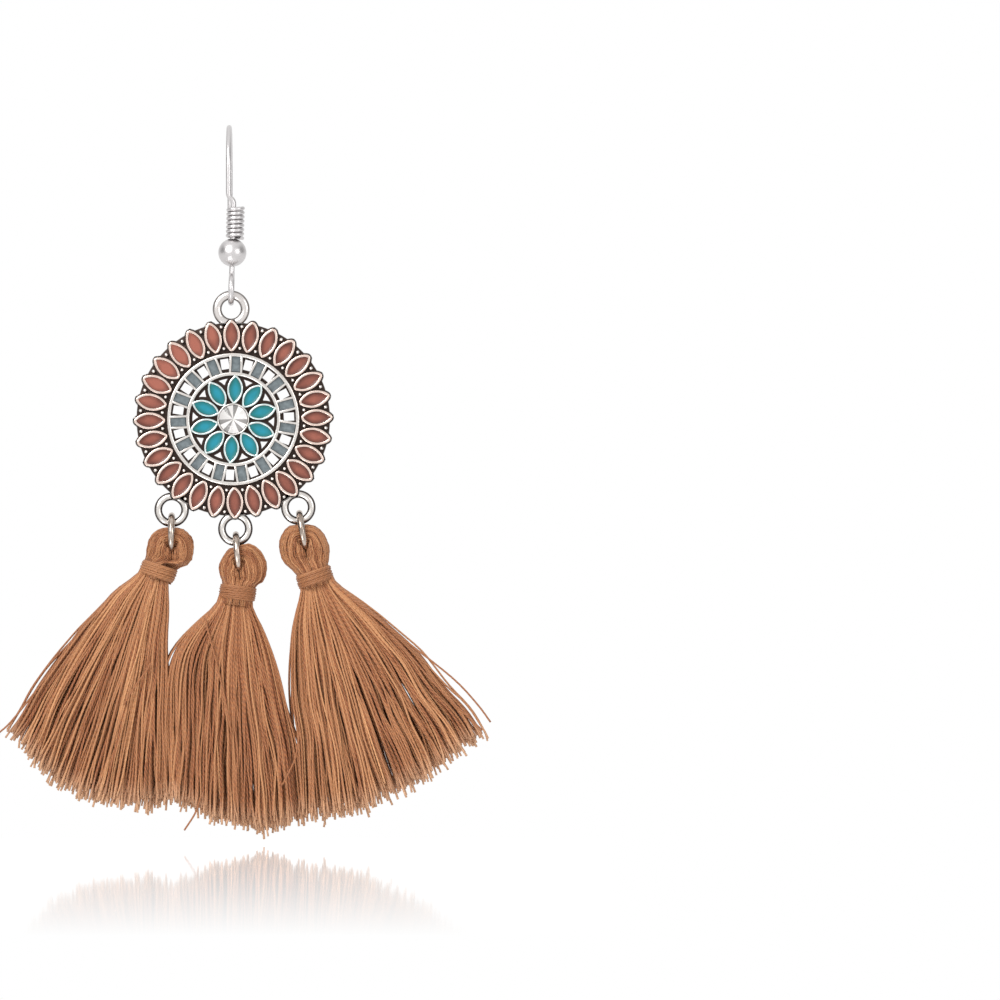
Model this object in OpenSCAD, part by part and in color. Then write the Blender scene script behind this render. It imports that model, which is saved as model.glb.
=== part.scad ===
// Drop earring: ear hook with bead and coil, enamelled round medallion, three cotton tassels.
// Millimetres. +Z is up, -Y is the front, and the origin lies under the top of the hook's bend,
// where the wire rests in the ear. The medallion and tassels hang below it, in front of the bend.

/* [Ear hook] */
// Diameter of the hook's wire
wire_d = 0.58; // [0.5:0.02:0.7]
// Diameter of the wire in the hanging loop
loop_wire_d = 0.62; // [0.6:0.02:0.72]
// From the top of the bend to the bottom of the hanging loop
hook_h = 20; // [18:0.5:24]
// Radius of the bend, at the middle of the wire
bend_r = 4.35; // [3.6:0.05:5]
// Turn of the hook about its upright line, in degrees
hook_yaw = 0; // [-2:0.5:6]
// Straight part of the tail below the bend
tail_len = 4; // [2:0.5:6]
// Radius of the flick at the tail's end
flick_r = 5; // [3:0.5:8]
// Angle of the flick at the tail's end, in degrees
flick_angle = 25; // [5:1:40]
// Radius of the two small bends above the coil
jog_r = 0.75; // [0.6:0.05:1]
// How far the hanging loop lies to the side of the bend
line_x = 0.28; // [0.1:0.02:0.5]
// Lean of the wire that carries bead and coil, in degrees
stem_lean = 1.5; // [0.5:0.5:3]
// Radius of the hanging loop, at the middle of its wire
loop_r = 1.5; // [1.45:0.05:1.8]

/* [Bead and coil] */
// Diameter of the bead
bead_d = 3.1; // [2.6:0.1:3.6]
// Space between hanging loop and bead
bead_gap = 0.68; // [0.4:0.02:1]
// Wire of the coil
coil_wire_d = 0.44; // [0.36:0.02:0.46]
// Outer diameter of the coil
coil_d = 2.04; // [1.9:0.02:2.4]
// Turns of the coil
coil_turns = 7; // [5:0.5:9]
// Distance between two turns
coil_pitch = 0.47; // [0.46:0.01:0.6]

/* [Medallion] */
// From the medallion's middle to the middle of the upper ring
top_ring_at = 12.12; // [11.9:0.02:12.4]
// From the medallion's middle to the middles of the lower rings
low_ring_at = 12.05; // [11.9:0.02:12.4]
// Angle between two lower rings, in degrees
low_ring_step = 35.3; // [30:0.1:42]
// Tilt of the hanging medallion in the picture plane, in degrees
hang_tilt = 1.1; // [0:0.1:3]
// Thickness of the plate
plate_t = 0.7; // [0.5:0.05:1]
// Radius of the plate between two petals
valley_r = 10.65; // [10.5:0.05:10.9]
// Metal border outside the petals' rims
border = 0.16; // [0.08:0.02:0.24]
// Height of the raised rims over the plate
relief_h = 0.5; // [0.3:0.05:0.7]
// Number of outer petals
petals = 28; // [24:1:30]
// Distance of the outer petals' middles from the medallion's middle
petal_at = 9.22; // [9.1:0.02:9.3]
// Length of an outer petal over its rim
petal_len = 3.42; // [3:0.02:3.5]
// Width of an outer petal over its rim
petal_w = 1.84; // [1.5:0.02:1.9]
// Width of the petals' rims
rim_w = 0.26; // [0.18:0.02:0.32]
// Diameter of the small dots between the petals
dot_d = 0.42; // [0.3:0.02:0.5]
// Distance of the outer dots from the middle
dot_out_at = 10.22; // [10.1:0.02:10.3]
// Distance of the inner dots from the middle
dot_in_at = 7.83; // [7.7:0.02:7.9]
// Outer radius of the band's outer ring
band_out_r = 7.3; // [7.2:0.02:7.4]
// Outer radius of the band's inner ring
band_in_r = 5.22; // [5.1:0.02:5.3]
// Width of the band's two rings
band_rim_w = 0.43; // [0.3:0.01:0.46]

/* [Band and rosette] */
// Number of enamel fields in the band
cells = 15; // [12:1:16]
// Width of an enamel field
cell_w = 0.95; // [0.7:0.05:1]
// Width of the bar at each side of a field
bar_w = 0.22; // [0.14:0.02:0.26]
// Turn of the first field from the top, in degrees
cell_turn = 4; // [0:0.5:24]
// Width of the square gaps through the band
gap_w = 0.82; // [0.6:0.02:0.86]
// Height of the square gaps through the band
gap_h = 1.16; // [0.8:0.02:1.2]
// Number of petals in the rosette
leaves = 10; // [8:1:10]
// Width of a rosette petal over its rim
leaf_w = 1.74; // [1.3:0.02:1.78]
// Width of the rosette petals' rims
leaf_rim_w = 0.21; // [0.14:0.01:0.26]
// Turn of the first rosette petal from the top, in degrees
leaf_turn = 4.6; // [0:0.1:36]
// Where the gaps between the rosette petals begin
notch_from = 3.62; // [3.5:0.02:4]

/* [Stone] */
// Diameter of the stone
stone_d = 3.14; // [2.8:0.02:3.2]
// Wall of the stone's setting
bezel_w = 0.15; // [0.1:0.01:0.2]
// Height of the setting over the plate
bezel_h = 0.78; // [0.6:0.02:1]
// Height of the stone's crown over its edge
crown_h = 0.42; // [0.3:0.02:0.6]
// Depth of the stone below its edge
pavilion_h = 0.9; // [0.6:0.02:1]

/* [Hanging rings] */
// Outer radius of the upper ring
top_ring_r = 2.03; // [1.95:0.01:2.1]
// Outer radius of the lower rings
low_ring_r = 1.9; // [1.84:0.01:1.93]
// Radius of the hole in each ring
ring_hole_r = 1.05; // [1.02:0.01:1.08]
// Thickness of each ring
ring_t = 1.2; // [1:0.02:1.22]
// Rounding of the rings' edges
ring_round = 0.4; // [0.38:0.01:0.42]
// Inner radius of the jump rings
jump_r = 1.6; // [1.58:0.02:1.8]
// Wire of the jump rings
jump_wire_d = 0.8; // [0.7:0.02:0.84]
// Slit where a jump ring's ends meet, in degrees
jump_slit = 4; // [2:1:8]

/* [Tassels] */
// Width of a tassel's head
head_w = 5.2; // [4.6:0.1:6]
// Depth of a tassel's head
head_d = 3.6; // [3.4:0.1:4]
// From the middle of a jump ring to the middle of the neck
head_h = 4.6; // [4.4:0.1:5.2]
// Width of the hole under the head's loop
eye_w = 1.2; // [1.1:0.1:1.6]
// Diameter of the neck under its binding
neck_d = 3.5; // [3.2:0.1:3.8]
// Height of the binding
binding_h = 2.1; // [1.6:0.1:2.4]
// Turns of thread in the binding
wraps = 5; // [4:1:6]
// Thickness of the binding over the neck
binding_t = 0.42; // [0.3:0.02:0.5]
// Length of the longest strands below the neck
skirt_len = 26; // [20:0.5:30]
// Depth of the skirts near their ends
skirt_d = 5; // [4:0.1:6]
// Reach of the left skirt to its outer side
left_out = 16.5; // [12:0.5:18]
// Reach of the left skirt to its inner side
left_in = 1.55; // [1.2:0.05:1.6]
// Reach of the middle skirt to the left
middle_left = 7.15; // [6:0.05:7.2]
// Reach of the middle skirt to the right
middle_right = 7; // [6:0.05:7.1]
// Reach of the right skirt to its inner side
right_in = 3.2; // [2.4:0.1:3.2]
// Reach of the right skirt to its outer side
right_out = 18.5; // [13:0.5:20]
// Locks side by side in a skirt
locks = 11; // [8:1:13]
// Width of the strands that run over a skirt's shoulders
shoulder_d = 0.8; // [0.6:0.1:1]

/* [Hidden] */
$fn = 48;

// Clearances: wire in a hole, rings that hang in each other, enamel in its field, thread on metal
bore_gap = 0.03;
hang_gap = 0.06;
inlay_gap = 0.03;
thread_gap = 0.1;
slice_t = 0.02;

// The hook's main heights, from the origin under the bend
bend_z = wire_d / 2 - bend_r;
loop_z = wire_d - hook_h + loop_wire_d / 2;
hang_y = -bend_r * cos(hook_yaw);

// Along the leaning wire, from the bottom of the hanging loop
bead_up = 2 * loop_r + loop_wire_d / 2 + bead_gap + bead_d / 2;
coil_r = (coil_d - coil_wire_d) / 2;
coil_rest = bead_d / 2 + coil_wire_d / 2 + bore_gap;
coil_up = bead_up + sqrt(pow(coil_rest, 2) - pow(coil_r, 2));
coil_len = coil_turns * coil_pitch;
stem_up = coil_up + coil_len + coil_wire_d;
coil_shift = (coil_r - coil_wire_d / 2 - wire_d / 2) * 0.8;

// The two small bends that bring the wire from the coil to the side of the bend
stem_x = line_x + stem_up * sin(stem_lean);
stem_z = loop_z + stem_up * cos(stem_lean);
front_x = -bend_r * sin(hook_yaw);
jog_angle = acos((1 + cos(stem_lean) - (stem_x - front_x) / jog_r) / 2);
jog_z = stem_z + jog_r * (sin(stem_lean) + 2 * sin(jog_angle));

// Heights in the medallion, from its middle plane to the front
floor_up = plate_t - ring_t / 2 + 0.05;
plate_back = floor_up - plate_t;
relief_up = floor_up + relief_h;
inlay_up = relief_up - 0.08;
bezel_up = floor_up + bezel_h;
bezel_r = stone_d / 2 + bore_gap + bezel_w;
girdle_up = bezel_up - 0.12;
girdle_t = 0.08;
pocket_back = girdle_up - pavilion_h - 0.08;

// The rosette's petals reach from the setting to the band's inner ring
leaf_from = bezel_r - 0.02;
leaf_to = band_in_r - band_rim_w + 0.02;
leaf_len = leaf_to - leaf_from;
leaf_at = (leaf_from + leaf_to) / 2;
cell_from = band_in_r;
cell_to = band_out_r - band_rim_w;
cell_mid = (cell_from + cell_to) / 2;

// The drop: middle of the upper ring and of the medallion
top_drop = ring_hole_r - loop_wire_d / 2 - hang_gap;
drop_len = top_drop + top_ring_at;
medal_x = line_x + drop_len * sin(hang_tilt);
medal_z = loop_z - drop_len * cos(hang_tilt);

// Jump rings, at the middle of their wire
jump_mid_r = jump_r + jump_wire_d / 2;
jump_drop = ring_hole_r - jump_wire_d / 2 - hang_gap + jump_mid_r;

// One row for each tassel:
// [step of its ring, lean of its jump ring, neck to the side and down as shares of head_h,
//  lean of the neck, shift of the head as a share of head_w]
LEFT_SEAT = [1, 0, -0.3, 0.83, 20, 0];
MIDDLE_SEAT = [0, -5, 0, 0.985, 8, 0.08];
RIGHT_SEAT = [-1, -10, 0.28, 1.07, -17, 0.02];

// Side outlines of the skirts: [share of the strand's length, share of the reach on that side]
LEFT_OUTER = [[0, 0.1], [0.08, 0.27], [0.31, 0.49], [0.51, 0.68], [0.7, 0.82], [0.86, 0.9], [1, 1]];
LEFT_INNER = [[0, 0.9], [0.11, 1], [0.25, 0.8], [1, 0.9]];
MIDDLE_LEFT = [[0, 0.25], [0.05, 0.45], [0.13, 0.69], [0.2, 0.88], [0.28, 1], [1, 1]];
MIDDLE_RIGHT = [[0, 0.25], [0.08, 0.43], [0.21, 0.6], [0.35, 0.75], [0.5, 0.83], [0.61, 0.93], [1, 1]];
RIGHT_INNER = [[0, 0.55], [0.14, 0.89], [0.35, 1], [0.48, 0.94], [0.63, 0.64], [1, 0.64]];
RIGHT_OUTER = [[0, 0.1], [0.08, 0.22], [0.2, 0.37], [0.44, 0.62], [0.66, 0.76], [0.8, 0.89], [1, 1]];

// Lower edge of the skirts: [place from left -1 to right 1, share of skirt_len]
LEFT_HEM = [[-1, 0.67], [-0.7, 0.79], [-0.4, 0.9], [0.03, 0.975], [0.5, 1], [1, 1]];
MIDDLE_HEM = [[-1, 0.83], [-0.57, 0.89], [-0.12, 0.94], [0.28, 0.96], [0.45, 0.99], [0.73, 0.94], [1, 0.94]];
RIGHT_HEM = [[-1, 1], [-0.7, 1], [-0.27, 0.97], [0.13, 0.89], [0.5, 0.84], [0.7, 0.77], [1, 0.67]];

// Head sections: [share of the way from top to neck, share of head_w, share of head_d]
HEAD = [[0, 0.5, 0.46], [0.14, 0.8, 0.72], [0.4, 1, 0.94], [0.68, 0.94, 1], [0.88, 0.78, 0.98]];

function mix(a, b, t) = a + (b - a) * t;

// A point of the medallion's face in the earring's frame: distance from its middle and angle
// clockwise from the top
function medal_point(r, a) =
    [medal_x + r * sin(a - hang_tilt), hang_y, medal_z + r * cos(a - hang_tilt)];

// Middle of the lower ring, of its jump ring and of the neck that a row stands for
function ring_point(seat) = medal_point(low_ring_at, 180 + seat[0] * low_ring_step);
function jump_point(seat) =
    ring_point(seat) + [-jump_drop * sin(seat[1]), 0, -jump_drop * cos(seat[1])];
function neck_point(seat) = jump_point(seat) + [seat[2] * head_h, 0, -seat[3] * head_h];

// Points of a bar's section with rounded corners, w wide and t thick, from x = 0
function round_bar(w, t, r) =
    [for (c = [[w - r, t / 2 - r, 0], [r, t / 2 - r, 90], [r, r - t / 2, 180], [w - r, r - t / 2, 270]])
        for (a = [0 : 30 : 90]) [c[0] + r * cos(c[2] + a), c[1] + r * sin(c[2] + a)]];

// Carries a shape drawn along the leaning wire, from the bottom of the hanging loop, to its place
module on_stem()
    translate([line_x, hang_y, loop_z])
        rotate([0, stem_lean, 0])
            children();

// Carries a shape drawn on the medallion, front up, to its place
module on_medal()
    translate([medal_x, hang_y, medal_z])
        rotate([0, -hang_tilt, 0])
            rotate([90, 0, 0])
                children();

// Repeats a shape round the medallion, clockwise from the first angle
module around(count, first)
    for (i = [0 : count - 1])
        rotate(-first - i * 360 / count)
            children();

// Pointed oval of two equal arcs along Y, drawn in by shrink
module marquise(length, width, shrink = 0) {
    arc_r = (pow(length, 2) + pow(width, 2)) / (4 * width);
    intersection() {
        translate([arc_r - width / 2, 0])
            circle(arc_r - shrink);
        translate([width / 2 - arc_r, 0])
            circle(arc_r - shrink);
    }
}

// Rim of a pointed oval
module marquise_rim(length, width, rim)
    difference() {
        marquise(length, width);
        marquise(length, width, rim);
    }

// Flat ring between two radii
module annulus(inner, outer)
    difference() {
        circle(outer);
        circle(inner);
    }

// A closed tube through the points. The lists give each ring's sideways direction, width and depth
module tube(points, across, widths, depths, sides) {
    last = len(points) - 1;
    rings = [for (i = [0 : last], s = [0 : sides - 1])
        let (way = points[min(i + 1, last)] - points[max(i - 1, 0)], a = 360 * s / sides)
        points[i] + across[i] * widths[i] / 2 * cos(a)
            + cross(way / norm(way), across[i]) * depths[i] / 2 * sin(a)];
    sleeve = [for (i = [0 : last - 1], s = [0 : sides - 1])
        let (a = i * sides + s, b = i * sides + (s + 1) % sides)
        each [[a, b + sides, b], [a, a + sides, b + sides]]];
    ends = [[for (s = [0 : sides - 1]) s], [for (s = [0 : sides - 1]) (last + 1) * sides - 1 - s]];
    polyhedron(rings, concat(sleeve, ends));
}

// A point in the hook's own plane, y behind the bend's middle and z up
function hook_plane(y, z) = [y * sin(hook_yaw), y * cos(hook_yaw), z];

// The hook's wire from inside the hanging loop, up the stem, through the two small bends, over the
// ear and down the tail
hook_route = concat(
    [for (s = [2 * loop_r, stem_up])
        [line_x + s * sin(stem_lean), hang_y, loop_z + s * cos(stem_lean)]],
    [for (i = [1 : 6]) let (h = mix(stem_lean, -jog_angle, i / 6))
        [stem_x + jog_r * (cos(h) - cos(stem_lean)), hang_y, stem_z + jog_r * (sin(stem_lean) - sin(h))]],
    [for (i = [1 : 6]) let (h = mix(-jog_angle, 0, i / 6))
        [front_x + jog_r * (1 - cos(h)), hang_y, jog_z + jog_r * sin(h)]],
    [for (b = [0 : 7.5 : 180]) hook_plane(-bend_r * cos(b), bend_z + bend_r * sin(b))],
    [for (i = [0 : 6]) let (f = flick_angle * i / 6)
        hook_plane(bend_r + flick_r * (1 - cos(f)), bend_z - tail_len - flick_r * sin(f))]);

// The filed round tip of the tail: [share of the wire's diameter past the end, share of its width]
TIP = [[0.25, 0.86], [0.42, 0.5]];
tail_end = hook_route[len(hook_route) - 1];
tail_way = hook_plane(sin(flick_angle), -cos(flick_angle));

module ear_hook() {
    tip = [for (row = TIP) tail_end + row[0] * wire_d * tail_way];
    route = concat(hook_route, tip);
    widths = concat([for (p = hook_route) wire_d], [for (row = TIP) row[1] * wire_d]);
    across = [for (i = [0 : len(route) - 1])
        let (way = route[min(i + 1, len(route) - 1)] - route[max(i - 1, 0)], side = cross(way, [1, 0, 0]))
        side / norm(side)];
    color("silver") {
        on_stem()
            translate([0, 0, loop_r])
                rotate([0, 90, 0])
                    rotate_extrude()
                        translate([loop_r, 0])
                            circle(d = loop_wire_d);
        tube(route, across, widths, widths, 10);
    }
}

module hook_bead()
    color("silver")
        on_stem()
            translate([0, 0, bead_up])
                difference() {
                    sphere(d = bead_d);
                    cylinder(d = wire_d + 2 * bore_gap, h = 2 * bead_d, center = true);
                }

module hook_coil() {
    per_turn = 16;
    turns = [for (i = [0 : coil_turns * per_turn]) 360 * i / per_turn];
    wire = [for (a = turns) coil_wire_d];
    color("gainsboro")
        on_stem()
            translate([coil_shift, 0, coil_up])
                tube([for (a = turns) [coil_r * cos(a), coil_r * sin(a), coil_pitch * a / 360]],
                    [for (a = turns) [cos(a), sin(a), 0]], wire, wire, 6);
}

// Outline of the plate: scalloped round the petals, open in the gaps
module plate_outline()
    difference() {
        union() {
            circle(valley_r);
            around(petals, 0)
                translate([0, petal_at])
                    marquise(petal_len + 2 * border, petal_w + 2 * border);
        }
        around(cells, cell_turn + 180 / cells)
            translate([0, cell_mid])
                square([gap_w, gap_h], center = true);
        difference() {
            annulus(notch_from, leaf_to);
            around(leaves, leaf_turn)
                translate([0, leaf_at])
                    marquise(leaf_len + 2 * border, leaf_w + 2 * border);
        }
    }

// All that stands up from the plate, in one drawing
module relief_outline() {
    around(petals, 0)
        translate([0, petal_at])
            marquise_rim(petal_len, petal_w, rim_w);
    around(petals, 180 / petals) {
        translate([0, dot_out_at])
            circle(d = dot_d);
        translate([0, dot_in_at])
            circle(d = dot_d);
    }
    annulus(band_out_r - band_rim_w, band_out_r);
    annulus(band_in_r - band_rim_w, band_in_r);
    around(cells, cell_turn)
        for (side = [-1, 1])
            translate([side * (cell_w + bar_w) / 2 - bar_w / 2, cell_from - band_rim_w / 2])
                square([bar_w, cell_to - cell_from + band_rim_w]);
    around(leaves, leaf_turn)
        translate([0, leaf_at])
            marquise_rim(leaf_len, leaf_w, leaf_rim_w);
}

// A hanging ring beside the plate, with rounded edges
module hanging_ring(outer)
    rotate_extrude()
        translate([ring_hole_r, 0])
            polygon(round_bar(outer - ring_hole_r, ring_t, ring_round));

// Puts a shape at the middle of each hanging ring
module at_rings(which)
    for (spot = which)
        rotate(-spot[1])
            translate([0, spot[0], 0])
                children();

TOP_RING = [[top_ring_at, 0]];
LOW_RINGS = [for (i = [-1 : 1]) [low_ring_at, 180 + i * low_ring_step]];

module medallion()
    color("lightgray")
        on_medal()
            difference() {
                union() {
                    translate([0, 0, plate_back])
                        linear_extrude(plate_t)
                            plate_outline();
                    translate([0, 0, floor_up])
                        linear_extrude(relief_h)
                            relief_outline();
                    translate([0, 0, floor_up])
                        linear_extrude(bezel_h)
                            annulus(bezel_r - bezel_w, bezel_r);
                    difference() {
                        union() {
                            at_rings(TOP_RING)
                                hanging_ring(top_ring_r);
                            at_rings(LOW_RINGS)
                                hanging_ring(low_ring_r);
                        }
                        translate([0, 0, floor_up])
                            cylinder(r = valley_r, h = ring_t);
                    }
                }
                at_rings(concat(TOP_RING, LOW_RINGS))
                    cylinder(r = ring_hole_r, h = 4 * ring_t, center = true);
                translate([0, 0, pocket_back])
                    cylinder(r = bezel_r - bezel_w, h = 4 * ring_t);
            }

module outer_enamel()
    color("indianred")
        on_medal()
            translate([0, 0, floor_up + inlay_gap])
                linear_extrude(inlay_up - floor_up - inlay_gap)
                    around(petals, 0)
                        translate([0, petal_at])
                            marquise(petal_len, petal_w, rim_w + inlay_gap);

module band_enamel()
    color("slategray")
        on_medal()
            translate([0, 0, floor_up + inlay_gap])
                linear_extrude(inlay_up - floor_up - inlay_gap)
                    around(cells, cell_turn)
                        intersection() {
                            translate([0, cell_mid])
                                square([cell_w - 2 * inlay_gap, cell_to], center = true);
                            annulus(cell_from + inlay_gap, cell_to - inlay_gap);
                        }

module rosette_enamel()
    color("darkcyan")
        on_medal()
            translate([0, 0, floor_up + inlay_gap])
                linear_extrude(inlay_up - floor_up - inlay_gap)
                    around(leaves, leaf_turn)
                        translate([0, leaf_at])
                            marquise(leaf_len, leaf_w, leaf_rim_w + inlay_gap);

// Round cut stone: eight-sided table, 24 crown facets, sixteen-sided pavilion
module crystal() {
    r = stone_d / 2;
    table = [for (i = [0 : 7]) [0.52 * r * cos(45 * i), 0.52 * r * sin(45 * i), crown_h]];
    girdle = [for (z = [0, -girdle_t], i = [0 : 15]) [r * cos(22.5 * i), r * sin(22.5 * i), z]];
    culet = [[0, 0, -pavilion_h]];
    faces = concat(
        [[for (i = [0 : 7]) 7 - i]],
        [for (i = [0 : 7])
            let (a = 8 + (2 * i + 15) % 16, b = 8 + 2 * i, c = 9 + 2 * i, n = (i + 1) % 8)
            each [[i, b, a], [i, c, b], [i, n, c]]],
        [for (i = [0 : 15])
            let (n = (i + 1) % 16)
            each [[8 + i, 8 + n, 24 + n], [8 + i, 24 + n, 24 + i], [24 + i, 24 + n, 40]]]);
    color("aliceblue")
        on_medal()
            translate([0, 0, girdle_up])
                polyhedron(concat(table, girdle, culet), faces);
}

// Carries a shape drawn round a jump ring's middle, hole along X, to its place
module on_jump(seat)
    translate(jump_point(seat))
        rotate([0, seat[1], 0])
            children();

// A jump ring with its slit at the back
module jump_ring(seat)
    color("rosybrown")
        on_jump(seat)
            rotate([0, 90, 0])
                rotate([0, 0, 90 + jump_slit / 2])
                    rotate_extrude(angle = 360 - jump_slit)
                        translate([jump_mid_r, 0])
                            circle(d = jump_wire_d);

module jump_ring_left() jump_ring(LEFT_SEAT);
module jump_ring_middle() jump_ring(MIDDLE_SEAT);
module jump_ring_right() jump_ring(RIGHT_SEAT);

// Carries a shape drawn round the neck's middle, axis up, to its place
module on_neck(seat)
    translate(neck_point(seat))
        rotate([0, seat[4], 0])
            children();

// Thread wound round the neck, as one band with a ridge for each turn
module binding(seat)
    color("peru")
        on_neck(seat)
            rotate_extrude()
                translate([neck_d / 2 + bore_gap, 0])
                    polygon(concat([[0, -binding_h / 2]],
                        [for (i = [0 : wraps - 1], s = [0 : 3])
                            [binding_t * (0.5 + 0.5 * sin(45 * s)), binding_h * ((i + s / 4) / wraps - 0.5)]],
                        [[binding_t / 2, binding_h / 2], [0, binding_h / 2]]));

module binding_left() binding(LEFT_SEAT);
module binding_middle() binding(MIDDLE_SEAT);
module binding_right() binding(RIGHT_SEAT);

// A thin slice across a strand, as a start or end for a stretch of it
module slice(w, d, sides)
    scale([w, d, 1])
        cylinder(d = 1, h = slice_t, center = true, $fn = sides);

// Head of a tassel: strands laid through the jump ring and drawn together above the neck
module head(seat) {
    top = [seat[5] * head_w, 0, jump_drop - low_ring_r - 2 * thread_gap];
    foot = neck_point(seat) - jump_point(seat)
        + (binding_h / 2 + thread_gap) * [sin(seat[4]), 0, cos(seat[4])];
    rows = concat(HEAD, [[1, neck_d / head_w, neck_d / head_d]]);
    difference() {
        translate(jump_point(seat))
            for (i = [0 : len(rows) - 2])
                hull()
                    for (row = [rows[i], rows[i + 1]])
                        translate(mix(top, foot, row[0]))
                            rotate([0, seat[4] * row[0], 0])
                                slice(row[1] * head_w, row[2] * head_d, 16);
        on_jump(seat) {
            rotate([0, 90, 0])
                rotate_extrude()
                    translate([jump_mid_r, 0])
                        circle(d = jump_wire_d + 2 * thread_gap, $fn = 12);
            translate([0, 0, -jump_mid_r + jump_wire_d / 4])
                rotate([90, 0, 0])
                    scale([eye_w, jump_wire_d * 1.8, 1])
                        cylinder(d = 1, h = 2 * head_d, center = true, $fn = 12);
        }
    }
}

// Place of a strand below a leaning neck: u across from -1 to 1, v from front -1 to back 1, t from
// neck to end
function sideways(reach, sides, u, t) =
    mix(-reach[0] * lookup(t, sides[0]), reach[1] * lookup(t, sides[1]), (u + 1) / 2);
function strand(lean, reach, sides, hem, u, v, t) = [
    sideways(reach, sides, u, t),
    v * mix(neck_d * 0.36, (skirt_d - lock_d(t)) / 2, sqrt(t)) * sqrt(1 - 0.6 * u * u),
    -t * skirt_len * lookup(u, hem) - (1 - t) * (2 * thread_gap + sideways(reach, sides, u, 0) * tan(lean))];

// Width and depth of one lock at a share of its length
function lock_w(reach, sides, t) =
    (reach[0] * lookup(t, sides[0]) + reach[1] * lookup(t, sides[1])) / locks * 0.92;
function lock_d(t) = skirt_d * mix(0.19, 0.28, t);

// Skirt of a tassel: three rows of locks, front, middle and back
module skirt(seat, reach, sides, hem) {
    steps = [0, 0.1, 0.3, 0.55, 0.8, 1];
    foot = neck_point(seat) - binding_h / 2 * [sin(seat[4]), 0, cos(seat[4])];
    on_neck(seat)
        cylinder(d = neck_d - thread_gap, h = binding_h + 6 * thread_gap, center = true);
    for (side = [-1, 1])
        hull() {
            translate(foot)
                rotate([0, seat[4], 0])
                    translate([0, 0, -thread_gap])
                        slice(neck_d, neck_d, 20);
            for (u = [0, side * 0.75], v = [-0.8, 0.8])
                translate(foot + strand(seat[4], reach, sides, hem, u, v, 0.12))
                    slice(shoulder_d, shoulder_d, 6);
        }
    for (v = [-1 : 1], i = [0 : locks - 1 - abs(v)]) {
        u = (2 * i + abs(v) - locks + 1) / (locks - 1) * 0.92;
        ragged = 1 - 0.025 * ((i * 7 + 3 * v + 3) % 4);
        tube([for (t = steps) foot + strand(seat[4], reach, sides, hem, u, v, t * ragged)],
            [for (t = steps) [1, 0, 0]],
            [for (t = steps) lock_w(reach, sides, t) * (1 - 0.35 * pow(t, 4))],
            [for (t = steps) lock_d(t)], 5);
    }
}

module tassel(seat, reach, sides, hem)
    color("sienna") {
        head(seat);
        skirt(seat, reach, sides, hem);
    }

module tassel_left() tassel(LEFT_SEAT, [left_out, left_in], [LEFT_OUTER, LEFT_INNER], LEFT_HEM);
module tassel_middle()
    tassel(MIDDLE_SEAT, [middle_left, middle_right], [MIDDLE_LEFT, MIDDLE_RIGHT], MIDDLE_HEM);
module tassel_right() tassel(RIGHT_SEAT, [right_in, right_out], [RIGHT_INNER, RIGHT_OUTER], RIGHT_HEM);

ear_hook();
hook_coil();
hook_bead();
medallion();
outer_enamel();
band_enamel();
rosette_enamel();
crystal();
jump_ring_left();
jump_ring_middle();
jump_ring_right();
tassel_left();
tassel_middle();
tassel_right();
binding_left();
binding_middle();
binding_right();
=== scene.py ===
"""A drop earring: fish-hook ear wire, enamelled casting and three cotton tassels on jump rings.

Each piece is worked in millimetres on a bench of its own, and its mesh is then laid in the shared
frame, which is in metres: +Z up, -Y the front, the origin under the top of the hook's bend.
"""

import logging
import math
from collections.abc import Callable, Sequence
from dataclasses import dataclass, field, replace
from enum import Enum

import bmesh
import bpy
import numpy as np
from mathutils import Matrix, Vector


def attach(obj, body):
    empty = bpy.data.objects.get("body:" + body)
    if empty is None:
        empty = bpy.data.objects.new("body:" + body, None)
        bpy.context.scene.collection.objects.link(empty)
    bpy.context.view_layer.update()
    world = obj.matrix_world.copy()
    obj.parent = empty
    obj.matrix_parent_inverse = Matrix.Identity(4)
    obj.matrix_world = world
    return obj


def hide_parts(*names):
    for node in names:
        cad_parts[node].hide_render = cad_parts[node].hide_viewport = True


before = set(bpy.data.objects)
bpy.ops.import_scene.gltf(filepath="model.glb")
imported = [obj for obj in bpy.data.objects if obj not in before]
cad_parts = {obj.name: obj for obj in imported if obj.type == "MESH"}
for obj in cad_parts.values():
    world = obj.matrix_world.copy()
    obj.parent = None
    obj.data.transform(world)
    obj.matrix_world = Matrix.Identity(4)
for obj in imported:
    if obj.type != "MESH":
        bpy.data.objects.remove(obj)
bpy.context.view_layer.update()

LOG = logging.getLogger("earring")
MM = 0.001
MERGE = 0.002
TO_METRES = Matrix.Scale(MM, 4)
Colour = tuple[float, float, float, float]
Point = Sequence[float]


# Shared tools


def linear(code: str) -> Colour:
    """Turns an sRGB hex colour to linear light.

    Args:
        code: The colour as "#RRGGBB".

    Returns:
        The colour in linear light, opaque.
    """
    shares = [int(code[i:i + 2], 16) / 255 for i in (1, 3, 5)]
    red, green, blue = (s / 12.92 if s <= 0.04045 else ((s + 0.055) / 1.055) ** 2.4 for s in shares)
    return red, green, blue, 1.0


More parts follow.
